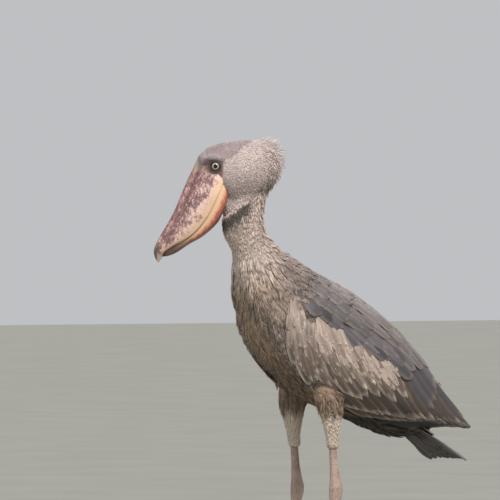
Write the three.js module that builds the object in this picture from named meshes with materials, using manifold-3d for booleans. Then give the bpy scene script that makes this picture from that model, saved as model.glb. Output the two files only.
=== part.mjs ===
// A life-size shoebill standing on both feet, its bill lowered and its head turned a little to its right.
// Millimetres, +Z up. The bird faces -Y, its left side is +X, and the origin is on the floor
// under the middle of its outline.

import * as THREE from "three";
import { mergeVertices } from "three/addons/utils/BufferGeometryUtils.js";
import Module from "manifold-3d";

const wasm = await Module();
wasm.setup();

// Driving sizes
const GAP = 0.4; // between touching pieces
const ANKLE_HEIGHT = 251;
const STANCE_HALF_WIDTH = 70;
const HEAD_TURN = THREE.MathUtils.degToRad(-26); // to the bird's right
const HEAD_PLACE = new THREE.Vector3(-4, -138, 0);
const EYE_RADIUS = 11;
const MIDDLE_TOE_LENGTH = 155;
const CLAW_LENGTH = 24;

// Outlines of the lofted pieces: centre y and z, half width across, half depth, from front to back
// or from top to bottom.
const TORSO_STATIONS = [
  [-146, 735, 37, 40],
  [-110, 663, 74, 70],
  [-58, 601, 97, 99],
  [15, 540, 105, 110],
  [98, 487, 94, 102],
  [170, 434, 72, 80],
  [228, 397, 52, 54],
  [262, 373, 22, 20],
];
const WING_STATIONS = [
  [-128, 668, 86, 76],
  [-72, 596, 111, 106],
  [8, 533, 125, 122],
  [104, 478, 122, 112],
  [196, 430, 92, 86],
  [286, 392, 54, 48],
  [361, 364, 24, 18],
];
const WING_SQUARENESS = 2.2;

// Shared shape code

const ACROSS = new THREE.Vector3(1, 0, 0);
const vector = (x, y, z) => new THREE.Vector3(x, y, z);

// A uniform Catmull-Rom curve through rows of numbers, as a function of 0 to 1, that runs on a
// little past both ends.
function spline(rows) {
  const last = rows.length - 1;
  const row = (i) => {
    if (i < 0) return rows[0].map((v, k) => 2 * v - rows[1][k]);
    if (i > last) return rows[last].map((v, k) => 2 * v - rows[last - 1][k]);
    return rows[i];
  };
  return (t) => {
    const along = t * last;
    const i = THREE.MathUtils.clamp(Math.floor(along), 0, last - 1);
    const w = along - i;
    const [before, from, to, after] = [row(i - 1), row(i), row(i + 1), row(i + 2)];
    return from.map((p, k) => {
      const leaving = (to[k] - before[k]) / 2;
      const arriving = (after[k] - p) / 2;
      const cubic = 2 * p - 2 * to[k] + leaving + arriving;
      const square = 3 * to[k] - 3 * p - 2 * leaving - arriving;
      return ((cubic * w + square) * w + leaving) * w + p;
    });
  };
}

// A closed geometry through rings that have the same number of points, with a fan over each end.
function skinRings(rings) {
  const sides = rings[0].length;
  const points = rings.flat();
  const faces = [];
  for (let r = 0; r < rings.length - 1; r++)
    for (let i = 0; i < sides; i++) {
      const a = r * sides + i;
      const b = r * sides + ((i + 1) % sides);
      faces.push(a, b, b + sides, a, b + sides, a + sides);
    }
  for (const [ring, turn] of [[0, 1], [rings.length - 1, 0]]) {
    const middle = vector(0, 0, 0);
    for (const p of rings[ring]) middle.addScaledVector(p, 1 / sides);
    const hub = points.push(middle) - 1;
    for (let i = 0; i < sides; i++) {
      const a = ring * sides + i;
      const b = ring * sides + ((i + 1) % sides);
      faces.push(...(turn ? [b, a, hub] : [a, b, hub]));
    }
  }
  const geometry = new THREE.BufferGeometry().setFromPoints(points);
  return geometry.setIndex(faces);
}

// The merged position and faces of a closed geometry, turned face out.
function closedMesh(geometry) {
  const bare = new THREE.BufferGeometry();
  bare.setAttribute("position", geometry.getAttribute("position"));
  if (geometry.index) bare.setIndex(geometry.index);
  const merged = mergeVertices(bare, 1e-4);
  const points = merged.attributes.position;
  const faces = new Uint32Array(merged.index.array);
  let volume = 0;
  const [a, b, c] = [vector(0, 0, 0), vector(0, 0, 0), vector(0, 0, 0)];
  for (let i = 0; i < faces.length; i += 3) {
    a.fromBufferAttribute(points, faces[i]);
    b.fromBufferAttribute(points, faces[i + 1]);
    c.fromBufferAttribute(points, faces[i + 2]);
    volume += a.dot(b.cross(c));
  }
  if (volume < 0)
    for (let i = 0; i < faces.length; i += 3)
      [faces[i + 1], faces[i + 2]] = [faces[i + 2], faces[i + 1]];
  merged.setIndex(new THREE.BufferAttribute(faces, 1));
  return merged;
}

// The manifold-3d solid of a closed geometry.
function solid(geometry) {
  const mesh = closedMesh(geometry);
  const vertProperties = mesh.attributes.position.array;
  return new wasm.Manifold(
    new wasm.Mesh({ numProp: 3, vertProperties, triVerts: mesh.index.array }),
  );
}

// The solid of a closed geometry moved out along its normals, to cut what meets it.
function grown(geometry, amount = GAP) {
  const mesh = closedMesh(geometry);
  mesh.computeVertexNormals();
  const [points, normals] = [mesh.attributes.position, mesh.attributes.normal];
  for (let i = 0; i < points.count; i++)
    points.setXYZ(
      i,
      points.getX(i) + amount * normals.getX(i),
      points.getY(i) + amount * normals.getY(i),
      points.getZ(i) + amount * normals.getZ(i),
    );
  return solid(mesh);
}

const GRID = 0.01; // finished solids have their points on this grid, so that no sliver is left

// The faces of a solid with its points moved to the grid and its slivers dropped.
function snapped(shape, grid) {
  const { vertProperties, triVerts } = shape.getMesh();
  const geometry = new THREE.BufferGeometry();
  const onGrid = Float32Array.from(vertProperties, (v) => Math.round(v / grid) * grid);
  geometry.setAttribute("position", new THREE.BufferAttribute(onGrid, 3));
  geometry.setIndex(new THREE.BufferAttribute(triVerts, 1));
  const merged = mergeVertices(geometry, grid / 10);
  const faces = merged.index.array;
  const kept = new Map();
  for (let f = 0; f < faces.length; f += 3) {
    const face = [faces[f], faces[f + 1], faces[f + 2]];
    if (new Set(face).size < 3) continue;
    const key = [...face].sort((p, q) => p - q).join();
    if (kept.has(key)) kept.delete(key);
    else kept.set(key, face);
  }
  const mesh = new wasm.Mesh({
    numProp: 3,
    vertProperties: merged.attributes.position.array,
    triVerts: Uint32Array.from([...kept.values()].flat()),
  });
  return new wasm.Manifold(mesh);
}

// The largest closed surface of a solid, without scraps or sealed hollows.
function largest(shape) {
  for (const grid of [GRID, GRID * 0.7, GRID * 0.4, GRID * 0.2]) {
    try {
      const bodies = snapped(shape, grid).decompose();
      return bodies.reduce((a, b) => (b.volume() > a.volume() ? b : a));
    } catch {
      continue;
    }
  }
  throw new Error("a solid doesn't close on any grid");
}

const join = (shapes) => shapes.reduce((a, b) => a.add(b));

const placed = (geometry, matrix) => geometry.clone().applyMatrix4(matrix);

// A point of the egg-shaped section of a loft: phi is 0 at the back and a half turn at the belly.
function sectionPoint(centre, across, up, halfWidth, halfDepth, phi, squareness) {
  const bend = (v) => Math.sign(v) * Math.abs(v) ** (2 / squareness);
  return centre
    .clone()
    .addScaledVector(across, halfWidth * bend(Math.sin(phi)))
    .addScaledVector(up, halfDepth * bend(Math.cos(phi)));
}

// The surface lofted through stations in the plane x = 0, as a function of (t, phi, proud). Its
// sections face along the loft, or stand upright.
function loftSurface(stations, squareness = 2, upright = false) {
  const at = spline(stations);
  const step = 1e-3;
  return (t, phi, proud = 0) => {
    const [y, z, halfWidth, halfDepth] = at(t);
    const [y0, z0] = at(t - step);
    const [y1, z1] = at(t + step);
    const up = upright ? vector(0, 0, 1) : vector(0, z0 - z1, y1 - y0).normalize();
    const [w, d] = [halfWidth + proud, halfDepth + proud];
    return sectionPoint(vector(0, y, z), ACROSS, up, w, d, phi, squareness);
  };
}

// The closed geometry of a surface of (t, phi).
function loft(surface, rings, sides) {
  const made = [];
  for (let r = 0; r < rings; r++) {
    const ring = [];
    for (let i = 0; i < sides; i++)
      ring.push(surface(r / (rings - 1), (2 * Math.PI * i) / sides));
    made.push(ring);
  }
  return skinRings(made);
}

// A tube through stations [x, y, z, half width, half depth], whose sections face along it.
function tubeSurface(stations, turn = () => 0, squareness = 2) {
  const at = spline(stations);
  const step = 1e-3;
  return (t, phi, proud = 0) => {
    const [x, y, z, halfWidth, halfDepth] = at(t);
    const before = vector(...at(t - step).slice(0, 3));
    const along = vector(...at(t + step).slice(0, 3)).sub(before).normalize();
    const angle = turn(t);
    const side = vector(Math.cos(angle), Math.sin(angle), 0);
    const across = side.addScaledVector(along, -side.dot(along)).normalize();
    const up = across.clone().cross(along);
    const [w, d] = [halfWidth + proud, halfDepth + proud];
    return sectionPoint(vector(x, y, z), across, up, w, d, phi, squareness);
  };
}

// Torso and neck, cut apart where the neck leaves the breast

const NECK_STATIONS = [
  [0, -92, 652, 48, 48],
  [0, -126, 698, 41, 43],
  [0, -148, 735, 38, 41],
  [0, -160, 772, 37, 42],
  [-1, -153, 806, 35, 39],
  [-2, -138, 836, 33, 34],
  [-3, -124, 862, 30, 30],
];
const NECK_CUT = vector(0, -146, 722);
const NECK_CUT_DIRECTION = vector(0, -0.34, 0.94);
const HALF_SPACE = 600;

// A block that fills the space beyond a plane.
function halfSpace(point, direction) {
  const box = new THREE.BoxGeometry(HALF_SPACE, HALF_SPACE, HALF_SPACE);
  box.translate(0, 0, HALF_SPACE / 2);
  const unit = direction.clone().normalize();
  box.applyQuaternion(new THREE.Quaternion().setFromUnitVectors(vector(0, 0, 1), unit));
  box.translate(point.x, point.y, point.z);
  return solid(box);
}

const torsoSurface = loftSurface(TORSO_STATIONS);
const neckSurface = tubeSurface(NECK_STATIONS, (t) => HEAD_TURN * t);
const neckAndTorso = solid(loft(torsoSurface, 14, 20)).add(solid(loft(neckSurface, 10, 16)));
const upwards = NECK_CUT_DIRECTION.clone().normalize();
const aboveCut = halfSpace(NECK_CUT, upwards);
const belowCut = halfSpace(
  NECK_CUT.clone().addScaledVector(upwards, GAP),
  upwards.clone().negate(),
);
const torso = largest(neckAndTorso.subtract(aboveCut));
const torsoGrown = grown(loft(torsoSurface, 14, 20));
const neckWhole = neckAndTorso.subtract(belowCut);

// Head and bill, in the head's own frame: y back along the head, z above the floor

const headMatrix = new THREE.Matrix4()
  .makeRotationZ(HEAD_TURN)
  .setPosition(HEAD_PLACE.x, HEAD_PLACE.y, HEAD_PLACE.z);

// The head from the face to the nape: y, z, half width, half height.
const HEAD_STATIONS = [
  [-107, 897, 10, 5],
  [-100, 893, 30, 15],
  [-84, 888, 42, 32],
  [-62, 875, 51, 52],
  [-36, 868, 57, 63],
  [-8, 872, 56, 61],
  [20, 878, 49, 55],
  [40, 881, 37, 43],
  [50, 881, 20, 26],
  [54, 881, 6, 8],
];
const headSurface = loftSurface(HEAD_STATIONS, 2, true);

// The bill's section, as shares of its half width and depth, from the ridge round one side.
const UPPER_SECTION = [
  [0, 1],
  [0.17, 0.97],
  [0.25, 0.84],
  [0.55, 0.78],
  [0.85, 0.5],
  [1, 0.16],
  [0.98, 0],
  [0.55, 0.1],
];
const LOWER_SECTION = [
  [0, 0.1],
  [0.94, 0.1],
  [0.97, -0.25],
  [0.86, -0.7],
  [0.5, -1],
  [0, -0.92],
];
// Ridge y and z, mouth line y and z, half width, from the forehead to the nail.
const UPPER_STATIONS = [
  [-88, 905, -50, 868, 40],
  [-104, 899, -59, 854, 46],
  [-116, 876, -64, 838, 50],
  [-127, 853, -73, 822, 53],
  [-137, 830, -82, 803, 53],
  [-148, 803, -95, 780, 50],
  [-161, 777, -113, 757, 44],
  [-173, 757, -134, 740, 35],
  [-184, 738, -156, 727, 23],
  [-190, 722, -172, 721, 12],
  [-183, 705, -176, 706, 6],
  [-177, 698, -175, 699, 2],
];
// Mouth line y and z, underside y and z, half width, from the gape to the chin's tip.
const LOWER_STATIONS = [
  [-56, 858, -44, 826, 42],
  [-62, 838, -55, 800, 47],
  [-71, 822, -60, 789, 50],
  [-80, 803, -68, 774, 50],
  [-93, 780, -82, 759, 47],
  [-111, 757, -101, 744, 41],
  [-132, 740, -124, 731, 32],
  [-154, 727, -147, 717, 20],
  [-169, 721, -167, 708, 8],
];

// A bill half lofted through stations of [near y, near z, far y, far z, half width].
function billHalf(stations, section, rings, upper) {
  const at = spline(stations);
  const mirrored = section.slice(1).reverse();
  const whole = upper ? mirrored : section.slice(1, -1).reverse();
  const made = [];
  for (let r = 0; r < rings; r++) {
    const [ridgeY, ridgeZ, edgeY, edgeZ, halfWidth] = at(r / (rings - 1));
    const point = ([wide, high], side) => {
      const share = upper ? high : -high;
      const from = upper ? [edgeY, edgeZ] : [ridgeY, ridgeZ];
      const to = upper ? [ridgeY, ridgeZ] : [edgeY, edgeZ];
      return vector(
        side * wide * halfWidth,
        from[0] + (to[0] - from[0]) * share,
        from[1] + (to[1] - from[1]) * share,
      );
    };
    made.push([...section.map((p) => point(p, 1)), ...whole.map((p) => point(p, -1))]);
  }
  return skinRings(made);
}

const upperBill = billHalf(UPPER_STATIONS, UPPER_SECTION, 16, true);
const lowerBill = billHalf(LOWER_STATIONS, LOWER_SECTION, 14, false);
const headGrown = grown(placed(loft(headSurface, 13, 18), headMatrix));

const upperBillGrown = grown(placed(upperBill, headMatrix));

// The nostrils, a slit in the groove on each side of the ridge near its base
const NOSTRIL = { place: vector(13, -114, 868), length: 14, width: 2.6, depth: 12, slope: -1.08 };
function nostril(side) {
  const slit = new THREE.BoxGeometry(NOSTRIL.width, NOSTRIL.length, NOSTRIL.depth);
  slit.rotateX(NOSTRIL.slope);
  slit.translate(side * NOSTRIL.place.x, NOSTRIL.place.y, NOSTRIL.place.z);
  return solid(placed(slit, headMatrix));
}

const upperBillSolid = largest(
  solid(placed(upperBill, headMatrix))
    .subtract(headGrown)
    .subtract(nostril(1))
    .subtract(nostril(-1)),
);
const lowerBillSolid = largest(
  solid(placed(lowerBill, headMatrix))
    .subtract(headGrown)
    .subtract(upperBillGrown),
);

// Eyes, each a ball in a socket
const EYE_PLACE = vector(41, -75, 882); // the left eye's centre in the head's frame
const eyeBall = (side, radius) => {
  const ball = new THREE.SphereGeometry(radius, 10, 7);
  ball.translate(side * EYE_PLACE.x, EYE_PLACE.y, EYE_PLACE.z);
  return solid(placed(ball, headMatrix));
};

const LID_RADIUS = 10.5;
const LID_THICKNESS = 2.6;
function lid(side) {
  const ring = new THREE.TorusGeometry(LID_RADIUS, LID_THICKNESS, 4, 12);
  ring.rotateY(Math.PI / 2);
  ring.rotateZ(side * 0.2);
  ring.translate(side * (EYE_PLACE.x + 4), EYE_PLACE.y - 1, EYE_PLACE.z);
  return solid(placed(ring, headMatrix));
}

// The crest: tapered locks round the back of the crown, each from inside the head to a fine tip
const CREST_MIDDLE = vector(0, 6, 884);
const CREST_ROWS = [
  { rise: 62, root: 34, count: 4, spread: 34, length: 26 },
  { rise: 36, root: 34, count: 5, spread: 44, length: 30 },
  { rise: 10, root: 30, count: 4, spread: 46, length: 28 },
];
const LOCK_WIDTH = 16;
const LOCK_THICKNESS = 8;
let seed = 7;
const random = () => (seed = (seed * 16807) % 2147483647) / 2147483647;

function lock(row, place) {
  const rise = THREE.MathUtils.degToRad(row.rise + 10 * (random() - 0.5));
  const outward = vector((place * row.spread) / 60, Math.cos(rise), Math.sin(rise)).normalize();
  const droop = vector(0, 0.5, -0.25 + 0.5 * random());
  const length = row.length * (0.75 + 0.5 * random());
  const across = vector(1, 0, 0).addScaledVector(outward, -outward.x).normalize();
  const root = CREST_MIDDLE.clone().add(vector((place * row.spread) / 2, 0, 0));
  const rings = [];
  for (const [f, share] of [[0, 1], [0.5, 0.75], [1, 0.14]]) {
    const distance = row.root + f * length;
    const centre = root.clone().addScaledVector(outward, distance);
    centre.addScaledVector(droop, f * f * 12);
    const up = across.clone().cross(outward);
    const [w, d] = [(LOCK_WIDTH / 2) * share, (LOCK_THICKNESS / 2) * share];
    rings.push(
      [[w, 0], [0, d], [-w, 0], [0, -d]].map(([a, b]) =>
        centre.clone().addScaledVector(across, a).addScaledVector(up, b),
      ),
    );
  }
  return solid(placed(skinRings(rings), headMatrix));
}

const crest = join(
  CREST_ROWS.flatMap((row) =>
    Array.from({ length: row.count }, (_, i) => lock(row, (2 * i) / (row.count - 1) - 1)),
  ),
);

const lids = lid(1).add(lid(-1)).subtract(upperBillGrown);
const head = largest(
  join([solid(placed(loft(headSurface, 13, 18), headMatrix)), crest, lids])
    .subtract(eyeBall(1, EYE_RADIUS + GAP))
    .subtract(eyeBall(-1, EYE_RADIUS + GAP)),
);
const lowerBillGrown = grown(placed(lowerBill, headMatrix));
const neck = largest(neckWhole.subtract(headGrown).subtract(lowerBillGrown));

// Feathers: thin closed vanes over a surface of (t, phi, proud)

const VANE_THICKNESS = 0.6;
const SPREAD_STEP = 1e-3;
const RISE_LENGTH = 9; // how soon after its root a feather is out of the core
const mix = THREE.MathUtils.lerp;

// A vane from root to tip, both [t, phi in degrees], on the side given. It starts sunk inside the core,
// comes out of it to its low height, and lies over its neighbours at its high height by the tip. Its
// lower edge is turned up by its roll, so that it lies over the next feather.
function vane(surface, side, feather) {
  const { root, tip, width, low, high, sunk, roll, shares } = feather;
  const place = (f) => [
    root[0] + (tip[0] - root[0]) * f,
    THREE.MathUtils.degToRad(root[1] + (tip[1] - root[1]) * f),
  ];
  const length = surface(...place(1), high).distanceTo(surface(...place(0), low));
  const rings = shares.map(([share, halfWidthShare], station) => {
    const f = station === 1 ? RISE_LENGTH / length : share;
    const [t, phi] = place(f);
    const lift = station === 0 ? sunk : mix(low, high, f);
    const here = surface(t, phi, lift);
    const ahead = surface(...place(f + SPREAD_STEP), lift).sub(here).normalize();
    const alongT = surface(t + SPREAD_STEP, phi, lift).sub(here).divideScalar(SPREAD_STEP);
    const alongPhi = surface(t, phi + SPREAD_STEP, lift).sub(here).divideScalar(SPREAD_STEP);
    const out = alongPhi.clone().cross(alongT).normalize();
    const across = ahead.clone().cross(out);
    const [tStep, phiStep] = [alongT, alongPhi].map((d) => across.dot(d) / d.lengthSq());
    const half = (width / 2) * halfWidthShare;
    const at = (offset, above) =>
      surface(t + tStep * offset, phi + phiStep * offset, lift + offset * Math.tan(roll) + above);
    const [above, below] = [VANE_THICKNESS / 2, -VANE_THICKNESS / 2];
    return [
      at(-half, above),
      at(0, above),
      at(half, above),
      at(half, below),
      at(0, below),
      at(-half, below),
    ];
  });
  for (const ring of rings) for (const p of ring) p.x *= side;
  return solid(skinRings(rings));
}

// How far along a vane each of its sections is, and its share of the full width. The second one is
// just clear of the core.
const SHORT_VANE = [
  [0, 0.35],
  [0.15, 0.55],
  [0.65, 1],
  [1, 0.35],
];

// Wings: each is a smooth sheet, outside the torso, from its front to the tips of its feathers.
const WING_SHARES = { front: 0.03, back: 0.985 }; // of the wing's whole line, front to tips
const WING_TOP = spline([[42], [20], [14], [14], [18], [30], [72]]); // degrees from the back
const WING_BOTTOM = spline([[112], [147], [152], [151], [140], [128], [100]]);
const WING_THICKNESS = spline([[10], [16], [18], [14], [9], [6], [3]]);

const wingEnvelope = loftSurface(WING_STATIONS, WING_SQUARENESS);

// The wing's outside, which draws in to the flank towards its lower edge.
function wingSurface(t, phi, proud) {
  const low = THREE.MathUtils.smoothstep(Math.abs(phi), 1.6, 2.4);
  return wingEnvelope(t, phi, proud - 11 * low);
}

// The closed geometry of a folded wing.
function wingSheet(side) {
  const [rings, columns] = [17, 10];
  const { front, back } = WING_SHARES;
  const made = [];
  for (let r = 0; r < rings; r++) {
    const share = r / (rings - 1);
    const t = front + (back - front) * share;
    const [top, bottom] = [WING_TOP(share)[0], WING_BOTTOM(share)[0]];
    const ring = [];
    for (const [proud, turned] of [[0, false], [-WING_THICKNESS(share)[0], true]])
      for (let c = 0; c < columns; c++) {
        const over = turned ? 1 - c / (columns - 1) : c / (columns - 1);
        const phi = THREE.MathUtils.degToRad(top + (bottom - top) * over);
        ring.push(wingSurface(t, side * phi, proud));
      }
    made.push(ring);
  }
  return skinRings(made);
}

const wing = (side) => largest(solid(wingSheet(side)).subtract(torsoGrown));
const wings = { left: wing(1), right: wing(-1) };

// Tail: a fan of feathers that lie over one another under the wing tips, from a short root
const TAIL_FEATHERS = 8;
const TAIL_LENGTH = 160;
const TAIL_SLOPE = THREE.MathUtils.degToRad(35);
const TAIL_ROOT = vector(0, 200, 396);
const TAIL_SPREAD = 12; // degrees from the middle to the outermost feather
const TAIL_PIVOT = 90; // how far ahead of the root the feathers' lines meet
const TAIL_ARCH = 9; // the fan's drop at 60 mm from its middle
const TAIL_LAYER = 1.3;

// The tail's surface: t runs from the root to the tips, phi is the angle across the fan.
function tailSurface(t, phi, proud) {
  const across = Math.sin(phi) * (TAIL_PIVOT + TAIL_LENGTH * t);
  const length = TAIL_LENGTH * t;
  const over = proud - TAIL_ARCH * (across / 60) ** 2;
  return TAIL_ROOT.clone().add(
    vector(
      across,
      length * Math.cos(TAIL_SLOPE) + over * Math.sin(TAIL_SLOPE),
      -length * Math.sin(TAIL_SLOPE) + over * Math.cos(TAIL_SLOPE),
    ),
  );
}

function tailRoot() {
  const spread = THREE.MathUtils.degToRad(TAIL_SPREAD + 3);
  const made = [];
  for (let r = 0; r < 4; r++) {
    const ring = [];
    for (const [proud, order] of [[4, 1], [-17, -1]])
      for (let c = -2; c <= 2; c++) ring.push(tailSurface(0.12 * r, (spread * order * c) / 2, proud));
    made.push(ring);
  }
  return solid(skinRings(made));
}

// The middle pair lies on top, and each feather further out lies one layer lower.
function tailFeathers() {
  const made = [];
  for (let i = 0; i < TAIL_FEATHERS; i++) {
    const place = (2 * i) / (TAIL_FEATHERS - 1) - 1;
    const rank = place > 0 ? i - TAIL_FEATHERS / 2 : TAIL_FEATHERS / 2 - 1 - i;
    const layer = 2 * rank + (place > 0 ? 1 : 0);
    const phi = TAIL_SPREAD * place;
    made.push(
      vane(tailSurface, 1, {
        root: [0.1, phi * 0.9],
        tip: [1 - 0.08 * place ** 2, phi],
        width: 32,
        low: 1 - layer * TAIL_LAYER,
        high: 1 - layer * TAIL_LAYER,
        sunk: 0.8 - layer * TAIL_LAYER,
        roll: 0,
        shares: SHORT_VANE,
      }),
    );
  }
  return made;
}

// The space that a wing's feathers fill, for cutting the tail and the thighs clear of it.
function wingHollow(side) {
  const [rings, columns] = [12, 8];
  const made = [];
  for (let r = 0; r < rings; r++) {
    const t = 0.03 + (0.965 * r) / (rings - 1);
    const last = 158 - 26 * THREE.MathUtils.smoothstep(t, 0.55, 0.8);
    const ring = [];
    for (const [proud, turned] of [[6, false], [-24 + 8 * t, true]])
      for (let c = 0; c < columns; c++) {
        const over = turned ? 1 - c / (columns - 1) : c / (columns - 1);
        const phi = THREE.MathUtils.degToRad(8 + (last - 8) * over);
        ring.push(wingSurface(t, side * phi, proud));
      }
    made.push(ring);
  }
  return solid(skinRings(made));
}
const wingHollows = { left: wingHollow(1), right: wingHollow(-1) };

const tail = largest(join([tailRoot(), ...tailFeathers()]).subtract(torsoGrown));

// Legs: feathered thigh, bare shank with its ankle, toes and claws

function legStations(side) {
  const x = side * STANCE_HALF_WIDTH;
  return {
    thigh: [
      [x * 0.85, -16, 505, 34, 36],
      [x * 0.93, -11, 460, 31, 35],
      [x, -4, 424, 26, 30],
      [x, -2, 390, 19, 23],
      [x, 0, 358, 13, 15],
      [x, 2, 334, 10, 11],
    ],
    shank: [
      [x, 0, 350, 7.5, 8],
      [x, 2, 322, 7.5, 8.5],
      [x, 5, 285, 8, 10],
      [x, 8, 262, 11, 14.5],
      [x, 8, 248, 11.5, 15.5],
      [x, 5, 226, 8.5, 11],
      [x, 0, 180, 7.2, 9],
      [x, -5, 120, 7.2, 9],
      [x, -10, 50, 8.5, 10],
      [x, -12, 22, 13, 13],
      [x, -12, 9, 14, 14],
    ],
  };
}

const nodes = { torso, neck, head, wing_left: wings.left, wing_right: wings.right, tail };
nodes.bill_upper = upperBillSolid;
nodes.bill_lower = lowerBillSolid;
nodes.eye_left = eyeBall(1, EYE_RADIUS);
nodes.eye_right = eyeBall(-1, EYE_RADIUS);

// Toes spread from the foot: name, heading from straight ahead, length without claw, base radius.
const TOES = [
  ["hallux", 172, 62, 7],
  ["inner", 26, 110, 8],
  ["middle", -2, MIDDLE_TOE_LENGTH, 8.5],
  ["outer", -38, 122, 8],
];
const FOOT_Y = -12;
const PAD_STATIONS = [
  [-16, 9, 8],
  [0, 10, 15],
  [16, 9, 9],
];

// A body along the floor whose underside is flat: stations of [distance, height, half width].
function floorTube(side, heading, stations, rings, sides) {
  const at = spline(stations);
  const angle = THREE.MathUtils.degToRad(heading) * side;
  const ahead = vector(-Math.sin(angle), -Math.cos(angle), 0);
  const across = vector(Math.cos(angle), -Math.sin(angle), 0);
  const foot = vector(side * STANCE_HALF_WIDTH, FOOT_Y, 0);
  const made = [];
  for (let r = 0; r < rings; r++) {
    const [distance, height, half] = at(r / (rings - 1));
    const centre = foot.clone().addScaledVector(ahead, distance).setZ(height);
    const ring = [];
    for (let i = 0; i < sides; i++) {
      const phi = (2 * Math.PI * (i + 0.5)) / sides;
      const p = centre.clone().addScaledVector(across, half * Math.sin(phi));
      ring.push(p.setZ(Math.max(0, height + half * Math.cos(phi))));
    }
    made.push(ring);
  }
  return skinRings(made);
}

function toeStations(length, radius) {
  return [
    [0, radius * 0.95, radius + 1],
    [length * 0.25, radius * 0.85, radius],
    [length * 0.4, radius * 0.8, radius * 0.8],
    [length * 0.55, radius * 0.8, radius * 0.92],
    [length * 0.75, radius * 0.72, radius * 0.75],
    [length * 0.92, radius * 0.66, radius * 0.78],
    [length, radius * 0.6, radius * 0.5],
  ];
}

function clawStations(length) {
  return [
    [length - 8, 7, 3.6],
    [length + CLAW_LENGTH * 0.25, 7.2, 3.6],
    [length + CLAW_LENGTH * 0.65, 5, 2.4],
    [length + CLAW_LENGTH, 1.2, 0.7],
  ];
}

for (const [name, side] of [["left", 1], ["right", -1]]) {
  const stations = legStations(side);
  const thighSurface = tubeSurface(stations.thigh);
  const shankSurface = tubeSurface(stations.shank);
  const thighGrown = grown(loft(thighSurface, 8, 12));
  const shank = solid(loft(shankSurface, 13, 8));
  const pad = floorTube(side, 0, PAD_STATIONS, 4, 8);
  const footGrown = grown(pad).add(grown(loft(shankSurface, 13, 8)));
  nodes["thigh_" + name] = largest(
    solid(loft(thighSurface, 8, 12)).subtract(torsoGrown).subtract(wingHollows[name]),
  );
  nodes["shank_" + name] = largest(shank.add(solid(pad)).subtract(thighGrown));
  const made = [];
  for (const [toe, heading, length, radius] of [TOES[2], TOES[1], TOES[3], TOES[0]]) {
    const whole = floorTube(side, heading, toeStations(length, radius), 8, 8);
    let body = solid(whole).subtract(footGrown);
    for (const other of made) body = body.subtract(other);
    made.push(grown(whole));
    nodes[`toe_${name}_${toe}`] = largest(body);
    const claw = solid(floorTube(side, heading, clawStations(length), 5, 5));
    nodes[`claw_${name}_${toe}`] = largest(claw.subtract(grown(whole)));
  }
}

// Finishes

const FINISHES = {
  plumage: { color: 0x8d8580, roughness: 0.9 },
  pale_plumage: { color: 0xa39a94, roughness: 0.9 },
  slate_plumage: { color: 0x5f5b5a, roughness: 0.85 },
  bill: { color: 0xc9a78c, roughness: 0.45 },
  eye: { color: 0xd8d2bb, roughness: 0.08 },
  leg: { color: 0x6d5d55, roughness: 0.7 },
  claw: { color: 0x3a3230, roughness: 0.4 },
};
const finishOf = (name) =>
  (name.startsWith("bill") && "bill") ||
  (name.startsWith("eye") && "eye") ||
  (name.startsWith("claw") && "claw") ||
  (/^(shank|toe)/.test(name) && "leg") ||
  (/^(wing|tail)/.test(name) && "slate_plumage") ||
  (/^(head|neck)/.test(name) && "pale_plumage") ||
  "plumage";

function meshOf(name, shape) {
  const { vertProperties, triVerts } = shape.getMesh();
  const geometry = new THREE.BufferGeometry();
  geometry.setAttribute("position", new THREE.BufferAttribute(vertProperties, 3));
  geometry.setIndex(new THREE.BufferAttribute(triVerts, 1));
  geometry.computeVertexNormals();
  const material = new THREE.MeshStandardMaterial({ metalness: 0, ...FINISHES[finishOf(name)] });
  const mesh = new THREE.Mesh(geometry, material);
  mesh.name = name;
  return mesh;
}

const bird = new THREE.Group();
for (const [name, shape] of Object.entries(nodes)) bird.add(meshOf(name, shape));

// The origin goes under the middle of the bird's outline.
const outline = new THREE.Box3().setFromObject(bird);
const middle = outline.getCenter(vector(0, 0, 0));
bird.position.set(-middle.x, -middle.y, -outline.min.z);

export default bird;
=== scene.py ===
# A shoebill, standing, as a still life-size model: skin, plumage, bill, eyes, legs and feet
import math

import bpy
import numpy as np
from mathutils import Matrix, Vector
from mathutils.bvhtree import BVHTree
from mathutils.kdtree import KDTree


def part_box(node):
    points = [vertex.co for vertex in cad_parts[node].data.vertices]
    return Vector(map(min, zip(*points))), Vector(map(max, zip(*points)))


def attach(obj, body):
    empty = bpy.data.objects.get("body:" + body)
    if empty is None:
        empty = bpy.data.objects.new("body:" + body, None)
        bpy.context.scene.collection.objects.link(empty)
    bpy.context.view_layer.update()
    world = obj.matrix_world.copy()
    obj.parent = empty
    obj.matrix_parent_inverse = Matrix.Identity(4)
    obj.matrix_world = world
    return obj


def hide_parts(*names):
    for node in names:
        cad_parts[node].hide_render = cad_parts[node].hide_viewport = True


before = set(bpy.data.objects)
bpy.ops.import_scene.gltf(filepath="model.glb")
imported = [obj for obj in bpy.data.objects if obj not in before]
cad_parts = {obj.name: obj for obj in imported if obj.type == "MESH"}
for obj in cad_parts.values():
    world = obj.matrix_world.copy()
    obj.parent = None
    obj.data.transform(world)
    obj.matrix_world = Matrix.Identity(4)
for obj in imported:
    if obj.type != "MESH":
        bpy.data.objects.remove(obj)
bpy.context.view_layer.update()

MM = 0.001
SIDES = ((1, "left"), (-1, "right"))

# The bird's own frame is in mm: it faces -y and stands at x = y = 0. The solids are moved along y by SHIFT.
HEAD_TURN = math.radians(-26)
HEAD_PLACE = np.array([-4.0, -138.0, 0.0])
EYE_PLACE = np.array([41.0, -75.0, 882.0])
EYE_RADIUS = 11.0
TURN = np.array([
    [math.cos(HEAD_TURN), -math.sin(HEAD_TURN), 0],
    [math.sin(HEAD_TURN), math.cos(HEAD_TURN), 0],
    [0, 0, 1],
])


def from_head(points):
    return np.asarray(points, float) @ TURN.T + HEAD_PLACE


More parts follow.
